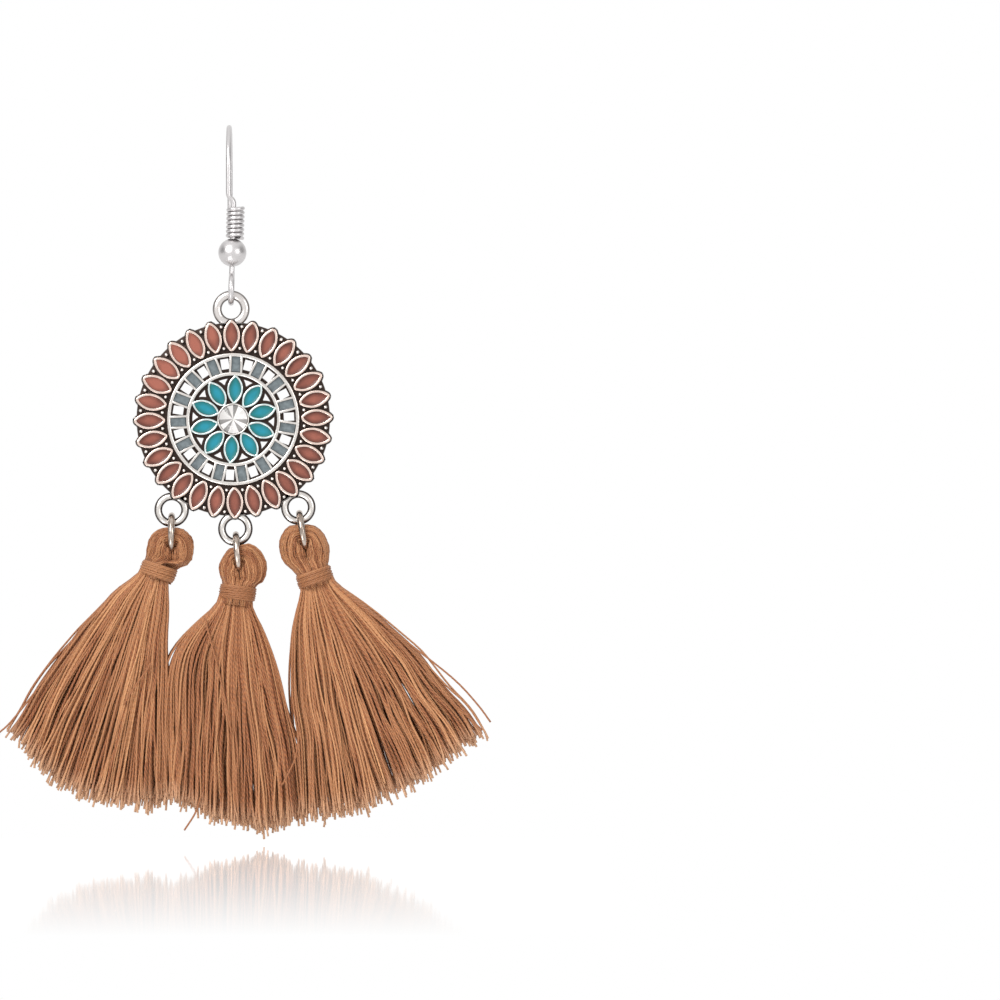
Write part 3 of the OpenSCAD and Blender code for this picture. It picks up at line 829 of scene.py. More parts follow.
@dataclass
class Medallion:
    """The cast medallion with its hanging rings, its enamels and its stone.

    The bench has X to the right, Y up and Z towards the viewer, with the medallion's middle at the
    origin. Angles run clockwise from the top.
    """

    hook: EarHook
    top_ring_at: float = 12.12
    low_ring_at: float = 12.05
    low_ring_step: float = 35.3
    tilt: float = 1.1
    plate_t: float = 0.7
    ring_behind: float = 0.05
    valley_r: float = 10.65
    border: float = 0.2
    border_at: float = 9.2
    relief_h: float = 0.5
    relief_round: float = 0.07
    petals: int = 28
    petal_at: float = 9.19
    petal_len: float = 3.66
    petal_w: float = 1.86
    petal_tip_r: float = 0.38
    rim_w: float = 0.26
    dot: float = 0.42
    dot_tall: float = 1.1
    dot_round: float = 0.62
    dots_at: tuple[float, float] = (10.22, 7.83)
    band_out_r: float = 7.3
    band_in_r: float = 5.22
    band_rim_w: float = 0.43
    band_round: float = 0.16
    cells: int = 15
    cell_w: float = 0.95
    bar_w: float = 0.26
    cell_turn: float = 4.0
    gap_w: float = 0.9
    gap_h: float = 1.14
    gap_aside: float = 0.05
    gap_out: float = 0.08
    leaves: int = 10
    leaf_w: float = 1.74
    leaf_tip_r: float = 0.3
    leaf_tips: float = 0.16
    leaf_lap: float = 0.02
    leaf_rim_w: float = 0.21
    leaf_turn: float = 4.6
    notch_from: float = 3.9
    notch_to: float = 4.5
    notch_border: float = 0.34
    stone: float = 3.14
    stone_gap: float = 0.03
    bezel_w: float = 0.15
    bezel_h: float = 0.78
    bezel_round: float = 0.06
    pocket_down: float = 1.1
    pocket_h: float = 1.0
    pocket_round: float = 0.1
    pocket_sides: int = 48
    ring_steps: int = 120
    top_ring_r: float = 2.03
    low_ring_r: float = 1.9
    hole_r: float = 1.05
    ring_t: float = 1.2
    ring_round: float = 0.4
    hang_gap: float = 0.06
    inlay_gap: float = 0.03
    inlay_down: float = 0.08
    sunk: float = 0.12
    lip: float = 0.13
    dips: Sequence[Point] = ((0.84, 0.035), (0.72, 0.03), (0.5, 0.015))
    # Where the enamel starts to pale, for its thinner resin and for a painted highlight.
    thin_from: float = 0.6
    # Painted reflections: how light the foil is, in even sectors clockwise from the top.
    foil_tones: Sequence[float] = (0.2, 1, 0.9, 1, 0.3, 1, 0.15, 0.9, 0.8, 0.2, 1, 0.25, 0.9, 1, 0.35, 1)

    def __post_init__(self) -> None:
        """Works out the places that follow from the sizes."""
        tilt = math.radians(self.tilt)
        drop = self.hole_r - self.hook.loop_wire / 2 - self.hang_gap + self.top_ring_at
        self.middle = self.hook.foot + Vector((drop * math.sin(tilt), 0, -drop * math.cos(tilt)))
        self.place = (Matrix.Translation(self.middle) @ Matrix.Rotation(-tilt, 4, "Y")
                      @ Matrix.Rotation(math.pi / 2, 4, "X"))
        self.floor = self.plate_t - self.ring_t / 2 + self.ring_behind
        self.foot = self.floor - self.sunk
        self.relief = self.floor + self.relief_h
        self.fill = self.relief - self.inlay_down
        self.bezel_r = self.stone / 2 + self.stone_gap + self.bezel_w
        self.cell_to = self.band_out_r - self.band_rim_w
        self.cell_mid = (self.band_in_r + self.cell_to) / 2
        low, high = self.bezel_r - self.leaf_lap, self.band_in_r - self.band_rim_w + self.leaf_lap
        leaf = Oval((low + high) / 2, high - low + self.leaf_tips, self.leaf_w, self.leaf_tip_r)
        petal = Oval(self.petal_at, self.petal_len, self.petal_w, self.petal_tip_r)
        self.outer = Fields(petal, self.petals, 0, self.rim_w)
        self.rosette = Fields(leaf, self.leaves, self.leaf_turn, self.leaf_rim_w)
        self.scallop = replace(petal, at=self.border_at).grown(self.border)

    def ring_middle(self, seat: int) -> Vector:
        """Returns the middle of a lower hanging ring in the frame: seat 1 left, 0 middle, -1 right."""
        return self.place @ self.spot(self.low_ring_at, 180 + seat * self.low_ring_step, 0)

    @staticmethod
    def spot(radius: float, degrees: float, height: float) -> Vector:
        """Returns a bench point from its radius, its angle clockwise from the top and its height."""
        angle = math.radians(degrees)
        return Vector((radius * math.sin(angle), radius * math.cos(angle), height))

    def outside(self, place: Vector) -> bool:
        """Says whether a bench point lies at the plate's scalloped edge or past it."""
        return place.xy.length > self.valley_r - self.border

    @staticmethod
    def arc(centre: Point, height: float, degrees: float, steps: int) -> None:
        """Draws an arc on from the selected vertex, clockwise, at a height of the bench."""
        turn((centre[0], centre[1], height), (0, 0, -1), degrees, steps)

    def plate_edge(self) -> bpy.types.Object:
        """Draws the plate's scalloped outer edge at the height of its front.

        Returns:
            The outline, in edit mode.
        """
        oval = self.scallop
        angle, valley = oval.crossing(self.valley_r)
        tip, out = oval.rounded()
        rest = 360 / self.petals - 2 * math.degrees(math.atan2(valley.x, valley.y))
        piece = start_point((-valley.x, valley.y, self.floor))
        for centre, degrees, steps in (
                ((oval.aside, oval.at), tip - angle, 4), ((0, oval.at + out), 180 - 2 * tip, 6),
                ((-oval.aside, oval.at), tip - angle, 4), ((0, 0), rest, 3)):
            self.arc(centre, self.floor, degrees, steps)
        copy_round(self.petals)
        weld()
        return piece

    def notch(self) -> bpy.types.Object:
        """Draws one gap between two rosette petals, the first one's right side to the next one's left.

        Returns:
            The gap's outline, in edit mode.
        """
        oval, step = self.rosette.oval.grown(self.notch_border), 360 / self.leaves
        low, start_at = oval.crossing(self.notch_from)
        high, end_at = oval.crossing(self.notch_to)
        first, second = clockwise(self.leaf_turn), clockwise(self.leaf_turn + step)
        piece = start_point(first @ Vector((start_at.x, start_at.y, self.floor)))
        for centre, degrees, steps in (
                (first @ Vector((-oval.aside, oval.at, 0)), low - high, 6),
                ((0, 0), step - 2 * math.degrees(math.atan2(end_at.x, end_at.y)), 6),
                (second @ Vector((oval.aside, oval.at, 0)), low - high, 6),
                ((0, 0), 2 * math.degrees(math.atan2(start_at.x, start_at.y)) - step, 2)):
            self.arc(centre, self.floor, degrees, steps)
        return piece

    def cast_plate(self) -> bpy.types.Object:
        """Casts the pierced plate: outline and gaps drawn, filled, extruded, its pocket for the stone cut.

        Returns:
            The plate, in edit mode.
        """
        piece = self.plate_edge()
        leave()
        middle = (self.gap_aside, self.cell_mid + self.gap_out, self.floor)
        gaps = start(bpy.ops.mesh.primitive_plane_add, size=1, location=middle)
        bpy.ops.transform.resize(value=(self.gap_w, self.gap_h, 1), center_override=middle)
        bpy.ops.mesh.delete(type="ONLY_FACE")
        copy_round(self.cells)
        leave()
        gaps.data.transform(clockwise(self.cell_turn + 180 / self.cells))
        notches = self.notch()
        copy_round(self.leaves)
        leave()
        join([piece, gaps, notches])
        edit()
        weld()
        bpy.ops.mesh.fill(use_beauty=True)
        thicken(-self.plate_t)
        choose(piece, lambda e: e.calc_face_angle(0) > 1 and level(e) and self.outside(e.verts[0].co),
               Part.EDGE)
        round_off(self.lip)
        leave()
        middle = self.floor + self.bezel_h - self.pocket_down + self.pocket_h / 2
        knife = start(bpy.ops.mesh.primitive_cylinder_add, vertices=self.pocket_sides,
                      radius=self.bezel_r - self.bezel_w, depth=self.pocket_h, location=(0, 0, middle))
        choose(knife, lambda e: level(e) and e.verts[0].co.z < middle, Part.EDGE)
        round_off(self.pocket_round)
        leave()
        cut_away(piece, knife)
        edit()
        return piece

    def oval_face(self, oval: Oval) -> bpy.types.Object:
        """Draws an oval face with rounded tips, a little inside the plate.

        Args:
            oval: Its size and place.

        Returns:
            The face, in edit mode and selected.
        """
        half, out = oval.rounded()
        piece = start_point((0, oval.at - out - oval.tip_r, self.foot))
        for centre, degrees, steps in (
                ((0, oval.at - out), 90 - half, 3), ((oval.aside, oval.at), 2 * half, 10),
                ((0, oval.at + out), 180 - 2 * half, 6), ((-oval.aside, oval.at), 2 * half, 10),
                ((0, oval.at - out), 90 - half, 3)):
            self.arc(centre, self.foot, degrees, steps)
        weld()
        bpy.ops.mesh.edge_face_add()
        return piece

    def cast_rims(self, fields: Fields) -> bpy.types.Object:
        """Casts the raised rims of a round of fields, one modelled and the rest copied.

        Args:
            fields: The round of fields.

        Returns:
            The rims, in edit mode.
        """
        piece = self.oval_face(fields.oval)
        bpy.ops.mesh.inset(thickness=fields.rim, use_even_offset=True)
        bpy.ops.mesh.delete(type="ONLY_FACE")
        thicken(self.relief - self.foot)
        choose(piece, lambda f: f.calc_center_median().z > self.relief - MERGE, Part.FACE)
        bpy.ops.mesh.region_to_loop()
        round_off(self.relief_round)
        copy_round(fields.count)
        leave()
        piece.data.transform(clockwise(fields.first))
        edit()
        return piece

    def cast_dots(self) -> bpy.types.Object:
        """Casts the small round dots between the petals, half sunk in the plate.

        Returns:
            The dots, in edit mode.
        """
        pieces, middle = [], self.relief - self.dot / 2
        for radius in self.dots_at:
            dot = start(bpy.ops.mesh.primitive_uv_sphere_add, segments=10, ring_count=6, radius=self.dot / 2,
                        location=self.spot(radius, 180 / self.petals, middle))
            bpy.ops.transform.resize(value=(1, 1, self.dot_tall), center_override=(0, 0, middle))
            choose(dot, lambda v: v.co.z < self.relief - self.dot_round * self.dot)
            draw_on((0, 0, self.floor - self.relief))
            copy_round(self.petals)
            leave()
            pieces.append(dot)
        piece = join(pieces)
        edit()
        return piece

    def cast_ring(self, inner: float, outer: float, low: float, high: float,
                  rounding: float) -> bpy.types.Object:
        """Turns a ring of rounded oblong section round the medallion's middle.

        Args:
            inner: Inner radius.
            outer: Outer radius.
            low: Lower side.
            high: Upper side.
            rounding: Radius of the section's corners.

        Returns:
            The ring, in edit mode.
        """
        middle = ((inner + outer) / 2, 0, (low + high) / 2)
        piece = start(bpy.ops.mesh.primitive_plane_add, size=1, location=middle, rotation=(math.pi / 2, 0, 0))
        bpy.ops.transform.resize(value=(outer - inner, 1, high - low), center_override=middle)
        bpy.ops.mesh.bevel(offset=rounding, segments=3, affect="VERTICES")
        pick_all()
        bpy.ops.mesh.delete(type="ONLY_FACE")
        pick_all()
        turn((0, 0, 0), (0, 0, 1), 360, self.ring_steps)
        return piece

    def cast_bars(self) -> bpy.types.Object:
        """Casts the bars at both sides of the band's enamel fields.

        Returns:
            The bars, in edit mode.
        """
        bars, height = [], self.relief - self.foot
        size = (self.bar_w, self.cell_to - self.band_in_r + self.band_rim_w / 2, height)
        for side in (-1, 1):
            middle = (side * (self.cell_w + self.bar_w) / 2, self.cell_mid, self.relief - height / 2)
            bar = start(bpy.ops.mesh.primitive_cube_add, size=1, location=middle)
            bpy.ops.transform.resize(value=size, center_override=middle)
            choose(bar, lambda f: f.normal.z > 0.9, Part.FACE)
            round_off(self.relief_round)
            copy_round(self.cells)
            leave()
            bar.data.transform(clockwise(self.cell_turn))
            bars.append(bar)
        piece = join(bars)
        edit()
        return piece

    def cast_hanging_rings(self, upper: bpy.types.Material, lower: bpy.types.Material) -> bpy.types.Object:
        """Casts the upper and the three lower hanging rings, cut away where the plate's front covers them.

        Args:
            upper: Finish of the upper ring.
            lower: Finish of the lower rings.

        Returns:
            The rings, in edit mode.
        """
        rings = []
        for at, angle, outer, finish in (
                (self.top_ring_at, 0, self.top_ring_r, upper),
                *((self.low_ring_at, 180 + seat * self.low_ring_step, self.low_ring_r, lower)
                  for seat in (-1, 0, 1))):
            ring = self.cast_ring(self.hole_r, outer, -self.ring_t / 2, self.ring_t / 2, self.ring_round)
            weld()
            face_out()
            leave()
            ring.data.transform(Matrix.Translation(self.spot(at, angle, 0)))
            ring.data.materials.append(finish)
            rings.append(ring)
        piece = join(rings)
        knife = self.plate_edge()
        bpy.ops.mesh.fill(use_beauty=True)
        thicken(self.ring_t)
        leave()
        cut_away(piece, knife)
        edit()
        return piece

    def build_casting(self, finishes: CastingFinishes) -> None:
        """Builds and dresses the casting.

        Args:
            finishes: What dresses each part.
        """
        plate = self.cast_plate()
        plate.data.materials.append(finishes.plate)
        plate.data.materials.append(finishes.lip)
        choose(plate, lambda f: self.outside(f.calc_center_median())
               and (f.normal.z < -0.5 or abs(f.normal.z) < 0.9), Part.FACE)
        plate.active_material_index = 1
        bpy.ops.object.material_slot_assign()
        pieces = [close_up(plate, self.place)]
        walls = [(outer - width, outer, self.foot, top, rounding) for outer, width, top, rounding in (
            (self.band_out_r, self.band_rim_w, self.relief, self.band_round),
            (self.band_in_r, self.band_rim_w, self.relief, self.band_round),
            (self.bezel_r, self.bezel_w, self.floor + self.bezel_h, self.bezel_round))]
        for build, settings, finish in (
                (self.cast_rims, (self.outer,), finishes.petal_rims),
                (self.cast_rims, (self.rosette,), finishes.leaf_rims),
                (self.cast_dots, (), finishes.plate), (self.cast_bars, (), finishes.plate),
                *((self.cast_ring, wall, finishes.plate) for wall in walls)):
            piece = build(*settings)
            piece.data.materials.append(finish)
            pieces.append(close_up(piece, self.place))
        rings = self.cast_hanging_rings(finishes.upper_ring, finishes.lower_rings)
        pieces.append(close_up(rings, self.place))
        hand_over(join(pieces), "casting", "drop", ["medallion"])

    def fill_ovals(self, fields: Fields) -> bpy.types.Object:
        """Fills a round of fields with enamel that dips a little in the middle.

        Args:
            fields: The round of fields.

        Returns:
            The enamels, laid in the frame.
        """
        piece = self.oval_face(fields.oval)
        bpy.ops.mesh.inset(thickness=fields.rim + self.inlay_gap, use_even_offset=True)
        choose(piece, lambda f: len(f.verts) <= 4, Part.FACE)
        bpy.ops.mesh.delete(type="FACE")
        self.dish(piece, (0, fields.oval.at, self.fill))
        copy_round(fields.count)
        return self.set_enamel(piece, fields.first)

    def fill_band(self) -> bpy.types.Object:
        """Fills the fields of the band with enamel.

        Returns:
            The enamels, laid in the frame.
        """
        inner, outer = self.band_in_r + self.inlay_gap, self.cell_to - self.inlay_gap
        half = self.cell_w / 2 - self.inlay_gap
        low, high = (math.degrees(math.asin(half / r)) for r in (inner, outer))
        piece = start_point(self.spot(outer, -high, self.foot))
        self.arc((0, 0), self.foot, 2 * high, 6)
        draw_on(self.spot(inner, low, self.foot) - self.spot(outer, high, self.foot))
        self.arc((0, 0), self.foot, -2 * low, 6)
        pick_all()
        bpy.ops.mesh.edge_face_add()
        self.dish(piece, (0, self.cell_mid, self.fill))
        copy_round(self.cells)
        return self.set_enamel(piece, self.cell_turn)

    def dish(self, piece: bpy.types.Object, centre: Point) -> None:
        """Raises a flat face to the enamel's height and lets its surface dip in steps.

        Args:
            piece: The face, in edit mode.
            centre: The middle of its surface.
        """
        thicken(self.fill - self.foot)
        choose(piece, lambda f: f.calc_center_median().z > self.fill - MERGE, Part.FACE)
        for share, depth in self.dips:
            draw_on((0, 0, -depth))
            bpy.ops.transform.resize(value=(share, share, 1), center_override=centre)

    def set_enamel(self, piece: bpy.types.Object, first: float) -> bpy.types.Object:
        """Turns the enamels to their first angle, lays them and marks where they are thin; the mark also
        carries a painted highlight along each field's middle.

        Args:
            piece: The enamels, in edit mode.
            first: Angle of the first.

        Returns:
            The finished enamels.
        """
        close_up(piece, smooth_below=30)
        thin = piece.data.attributes.new("thin", "FLOAT", "POINT")
        deepest = sum(depth for _, depth in self.dips)
        for vertex, mark in zip(piece.data.vertices, thin.data):
            dip = (self.fill - vertex.co.z) / deepest
            thinned = min(max(dip - self.thin_from, 0) / (1 - self.thin_from), 1)
            mark.value = thinned if vertex.co.z > self.floor else 0
        piece.data.transform(self.place @ clockwise(first))
        return piece

    def build_enamels(self, terracotta: bpy.types.Material, slate: bpy.types.Material,
                      teal: bpy.types.Material) -> None:
        """Builds and dresses the three rounds of enamel.

        Args:
            terracotta: Enamel of the outer petals.
            slate: Enamel of the band.
            teal: Enamel of the rosette.
        """
        petals, leaves = self.fill_ovals(self.outer), self.fill_ovals(self.rosette)
        for piece, enamel, name, slot, node in (
                (petals, terracotta, "terracotta_petals", "terracotta_enamel", "outer_enamel"),
                (self.fill_band(), slate, "slate_fields", "slate_enamel", "band_enamel"),
                (leaves, teal, "teal_rosette", "teal_enamel", "rosette_enamel")):
            piece.data.materials.append(enamel)
            hand_over(piece, name, "drop", [node])

    def set_stone(self, stone: bpy.types.Object, glass: bpy.types.Material) -> None:
        """Sets the cut stone, its CAD facets copied as they are and its foil toned facet by facet with
        painted reflections.

        Args:
            stone: The CAD node of the stone.
            glass: The stone's foiled glass.
        """
        bpy.ops.object.select_all(action="DESELECT")
        piece = bpy.data.objects.new("stone", stone.data.copy())
        piece.data.transform(TO_METRES.inverted() @ stone.matrix_world)
        bpy.context.scene.collection.objects.link(piece)
        bpy.context.view_layer.objects.active = piece
        piece.select_set(True)
        edit()
        close_up(piece, smooth_below=1)
        marks = piece.data.attributes.new("foil", "FLOAT", "FACE")
        to_bench = self.place.inverted()
        for face, mark in zip(piece.data.polygons, marks.data):
            spot = to_bench @ face.center
            in_front = (to_bench.to_3x3() @ face.normal).z > 0.1
            # Painted reflection: each sector of the foil's back takes its listed tone.
            step = math.degrees(math.atan2(spot.x, spot.y)) % 360 * len(self.foil_tones) / 360
            mark.value = 0 if in_front else self.foil_tones[int(step)]
        piece.data.materials.clear()
        piece.data.materials.append(glass)
        hand_over(piece, "cut_stone", "drop", ["crystal"])


# Jump rings


@dataclass
class JumpRing:
    """One split ring, edge on to the viewer, that hangs a tassel from the medallion."""

    middle: Vector
    lean: float
    radius: float = 1.64
    wire: float = 0.72
    slit: float = 4.0
    sides: int = 20
    steps: int = 60

    @property
    def wire_r(self) -> float:
        """Radius of the ring at the middle of its wire."""
        return self.radius + self.wire / 2

    def build(self, plate: bpy.types.Material, side: str) -> None:
        """Builds and dresses the ring.

        Args:
            plate: The ring's plate.
            side: Name of the tassel that it carries.
        """
        piece = start(bpy.ops.mesh.primitive_circle_add, vertices=self.sides, radius=self.wire / 2,
                      fill_type="NOTHING", location=(self.wire_r, 0, 0), rotation=(math.pi / 2, 0, 0))
        turn((0, 0, 0), (0, 0, 1), 360 - self.slit, self.steps)
        place = (Matrix.Translation(self.middle) @ Matrix.Rotation(math.radians(self.lean), 4, "Y")
                 @ Matrix.Rotation(math.pi / 2, 4, "Y")
                 @ Matrix.Rotation(math.radians(90 + self.slit / 2), 4, "Z"))
        piece.data.materials.append(plate)
        hand_over(close_up(piece, place), "split_ring_" + side, "drop",
                  ["jump_ring_" + side])


# Tassels


class Side(Enum):
    """Which tassel it is, by its seat under the medallion."""

    LEFT = 1
    MIDDLE = 0
    RIGHT = -1


@dataclass(frozen=True)
class Fall:
    """How one tassel hangs.

    Side outlines give pairs of the share of a strand's length and the share of the reach there. The
    hem gives pairs of the place from left -1 to right 1 and the share of the skirt's length. The crown
    runs over the head from left to right, in millimetres from the jump ring's middle, as do the strays.
    """

    ring_lean: float
    neck_aside: float
    neck_down: float
    lean: float
    reach: tuple[float, float]
    left_side: Sequence[Point]
    right_side: Sequence[Point]
    hem: Sequence[Point]
    crown: Sequence[Point]
    bound_down: float
    strays: Sequence[Sequence[Point]]
    crossed: float = 0.0


FALLS = {
    Side.LEFT: Fall(
        0, -0.3, 0.83, 20, (16.5, 1.55),
        ((0, 0.085), (0.08, 0.26), (0.31, 0.48), (0.51, 0.66), (0.7, 0.81), (0.86, 0.9), (1, 1)),
        ((0, 0.85), (0.11, 1), (0.25, 0.85), (1, 1.1)),
        ((-1, 0.67), (-0.7, 0.79), (-0.4, 0.9), (0.03, 0.96), (0.5, 0.98), (1, 0.975)),
        ((-2.68, -1.7), (-2.45, -0.55), (-1.5, 0.4), (0, 0.6), (1.67, 0.13), (2.48, -1.4), (1.8, -3.3)),
        0.3,
        (((-2.3, -14.2), (-2.7, -15), (-3.95, -16.7), (-5.25, -18.8)),
         ((-8.2, -8.6), (-9.75, -10.1), (-13.35, -15.2), (-15.85, -18.5), (-17.75, -20.8), (-18.85, -21.8))),
        crossed=1.9),
    Side.MIDDLE: Fall(
        -5, 0, 0.985, 8, (7.4, 7.1),
        ((0, 0.22), (0.05, 0.43), (0.13, 0.68), (0.2, 0.88), (0.28, 1), (0.4, 1.06), (1, 1.08)),
        ((0, 0.22), (0.08, 0.41), (0.21, 0.59), (0.35, 0.74), (0.5, 0.85), (0.61, 0.96), (1, 1.08)),
        ((-1, 0.83), (-0.57, 0.89), (-0.12, 0.94), (0.28, 0.96), (0.45, 0.99), (0.73, 0.94), (1, 0.94)),
        ((-1.85, -2.6), (-1.9, -1.2), (-1.1, 0.05), (0, 0.6), (1.85, 0.75), (3.2, -1.0), (2.95, -3.0)),
        -0.15,
        (((-3.5, -7.2), (-3.1, -9), (-2.2, -12.4), (-1.3, -16.3), (-0.6, -20)),
         ((-4, -26.8), (-4.6, -28.6), (-5.8, -30.5)))),
    Side.RIGHT: Fall(
        -10, 0.28, 1.07, -17, (3.2, 18.5),
        ((0, 0.5), (0.14, 0.87), (0.35, 1), (0.48, 0.98), (0.63, 0.78), (1, 0.78)),
        ((0, 0.085), (0.08, 0.21), (0.2, 0.36), (0.44, 0.61), (0.66, 0.76), (0.8, 0.89), (1, 1)),
        ((-1, 1), (-0.7, 1), (-0.27, 0.97), (0.13, 0.89), (0.5, 0.815), (0.7, 0.735), (1, 0.645)),
        ((-2.05, -3.4), (-2.55, -1.7), (-1.9, 0.2), (0, 0.6), (1.75, 0.2), (2.92, -1.6), (2.85, -3.3)),
        0.15,
        (((-0.5, -20.5), (-0.3, -22), (-0.5, -23.5), (-0.75, -24.9), (-1.35, -26.3), (-2.2, -27.9)),
         ((5.4, -7.4), (8.05, -9.5), (12.7, -13.1), (16.8, -16.4), (19.3, -19.1), (20.7, -21)),
         ((8.6, -10.4), (10.8, -12.5), (15.2, -17.5), (19.8, -21.9)))),
}


@dataclass
class ThreadBundle:
    """Threads gathered for one mesh: each is swept along its path as a thin many-sided tube."""

    sides: int = 6
    points: list[np.ndarray] = field(default_factory=list)
    faces: list[np.ndarray] = field(default_factory=list)
    uvs: list[np.ndarray] = field(default_factory=list)
    tints: list[np.ndarray] = field(default_factory=list)
    worn: list[np.ndarray] = field(default_factory=list)
    count: int = 0

    def sweep(self, paths: np.ndarray, radii: np.ndarray, tints: np.ndarray, worn: np.ndarray,
              across: Point = (0, 1, 0)) -> None:
        """Sweeps threads of one kind along their paths.

        Args:
            paths: Points, by thread, step and axis.
            radii: Radius by thread and step.
            tints: How light each thread is, from 0 to 1.
            worn: How rubbed each step is, by thread and step.
            across: A direction that no thread runs along.
        """
        number, steps = paths.shape[:2]
        way = np.gradient(paths, axis=1)
        way /= np.linalg.norm(way, axis=2, keepdims=True)
        first = np.cross(way, np.array(across, float))
        first /= np.linalg.norm(first, axis=2, keepdims=True)
        second = np.cross(way, first)
        angle = 2 * math.pi * np.arange(self.sides) / self.sides
        rings = (paths[:, :, None] + radii[:, :, None, None]
                 * (first[:, :, None] * np.cos(angle)[:, None] + second[:, :, None] * np.sin(angle)[:, None]))
        index = self.count + np.arange(number * steps * self.sides).reshape(number, steps, self.sides)
        after = np.roll(index, -1, axis=2)
        quads = np.stack([index[:, :-1], after[:, :-1], after[:, 1:], index[:, 1:]], axis=-1).reshape(-1, 4)
        length = np.concatenate([np.zeros((number, 1)),
                                 np.cumsum(np.linalg.norm(np.diff(paths, axis=1), axis=2), axis=1)], axis=1)
        length += 7.3 * np.arange(number)[:, None]
        turns = np.arange(self.sides + 1) / self.sides
        u_low, u_high = turns[:-1], turns[1:]
        uv = np.zeros((number, steps - 1, self.sides, 4, 2))
        uv[..., 0, 0] = uv[..., 3, 0] = u_low
        uv[..., 1, 0] = uv[..., 2, 0] = u_high
        uv[..., 0, 1] = uv[..., 1, 1] = length[:, :-1, None]
        uv[..., 2, 1] = uv[..., 3, 1] = length[:, 1:, None]
        self.points.append(rings.reshape(-1, 3))
        self.faces.append(quads)
        self.uvs.append(uv.reshape(-1, 2))
        self.caps(index, length)
        self.tints.append(np.repeat(tints, steps * self.sides))
        self.worn.append(np.repeat(worn.reshape(-1), self.sides))
        self.count += number * steps * self.sides

    def caps(self, index: np.ndarray, length: np.ndarray) -> None:
        """Closes both ends of each thread with a fan.

        Args:
            index: Vertex numbers by thread, step and side.
            length: Length along the thread by thread and step.
        """
        for end, turned, along in ((0, True, length[:, 0]), (-1, False, length[:, -1])):
            ring = index[:, end, ::-1] if turned else index[:, end]
            for first in range(1, self.sides - 2, 2):
                quads = ring[:, [0, first, first + 1, first + 2]]
                uv = np.zeros((len(quads), 4, 2))
                uv[..., 1] = along[:, None]
                self.faces.append(quads)
                self.uvs.append(uv.reshape(-1, 2))

    def weave(self, name: str) -> bpy.types.Object:
        """Makes the mesh of all threads.

        Args:
            name: The mesh's name.

        Returns:
            The object, linked to the scene.
        """
        points = np.concatenate(self.points)
        faces = np.concatenate(self.faces)
        mesh = bpy.data.meshes.new(name)
        mesh.vertices.add(len(points))
        mesh.vertices.foreach_set("co", points.reshape(-1))
        mesh.loops.add(faces.size)
        mesh.loops.foreach_set("vertex_index", faces.reshape(-1).astype(np.int32))
        mesh.polygons.add(len(faces))
        mesh.polygons.foreach_set("loop_start", np.arange(0, faces.size, 4, dtype=np.int32))
        mesh.update(calc_edges=True)
        mesh.uv_layers.new(name="thread").data.foreach_set("uv", np.concatenate(self.uvs).reshape(-1))
        for title, values in (("tint", self.tints), ("worn", self.worn)):
            marks = mesh.attributes.new(title, "FLOAT", "POINT")
            marks.data.foreach_set("value", np.concatenate(values).astype(np.float32))
        mesh.shade_smooth()
        mesh.validate()
        piece = bpy.data.objects.new(name, mesh)
        bpy.context.scene.collection.objects.link(piece)
        return piece


def follow(outline: Sequence[Point], places: np.ndarray, blur: float = 0.05) -> np.ndarray:
    """Reads an outline's share at given places, with its corners rounded.

    Args:
        outline: Pairs of place and share.
        places: Where to read it.
        blur: How far the corners are rounded, in the outline's places.

    Returns:
        The shares.
    """
    at, share = np.array(outline, float).T
    return sum(np.interp(places + step * blur, at, share) * 0.2 for step in (-1, -0.5, 0, 0.5, 1))


def spline(controls: np.ndarray, steps: int) -> np.ndarray:
    """Runs smooth curves through control points.

    Args:
        controls: Points, by curve, point and axis.
        steps: Points on each curve.

    Returns:
        The curves' points, by curve, step and axis.
    """
    padded = np.concatenate([2 * controls[:, :1] - controls[:, 1:2], controls,
                             2 * controls[:, -1:] - controls[:, -2:-1]], axis=1)
    spans = controls.shape[1] - 1
    at = np.linspace(0, spans, steps)
    span = np.minimum(at.astype(int), spans - 1)
    t = (at - span)[None, :, None]
    a, b, c, d = (padded[:, span + i] for i in range(4))
    return 0.5 * (2 * b + (c - a) * t + (2 * a - 5 * b + 4 * c - d) * t ** 2
                  + (3 * b - a - 3 * c + d) * t ** 3)


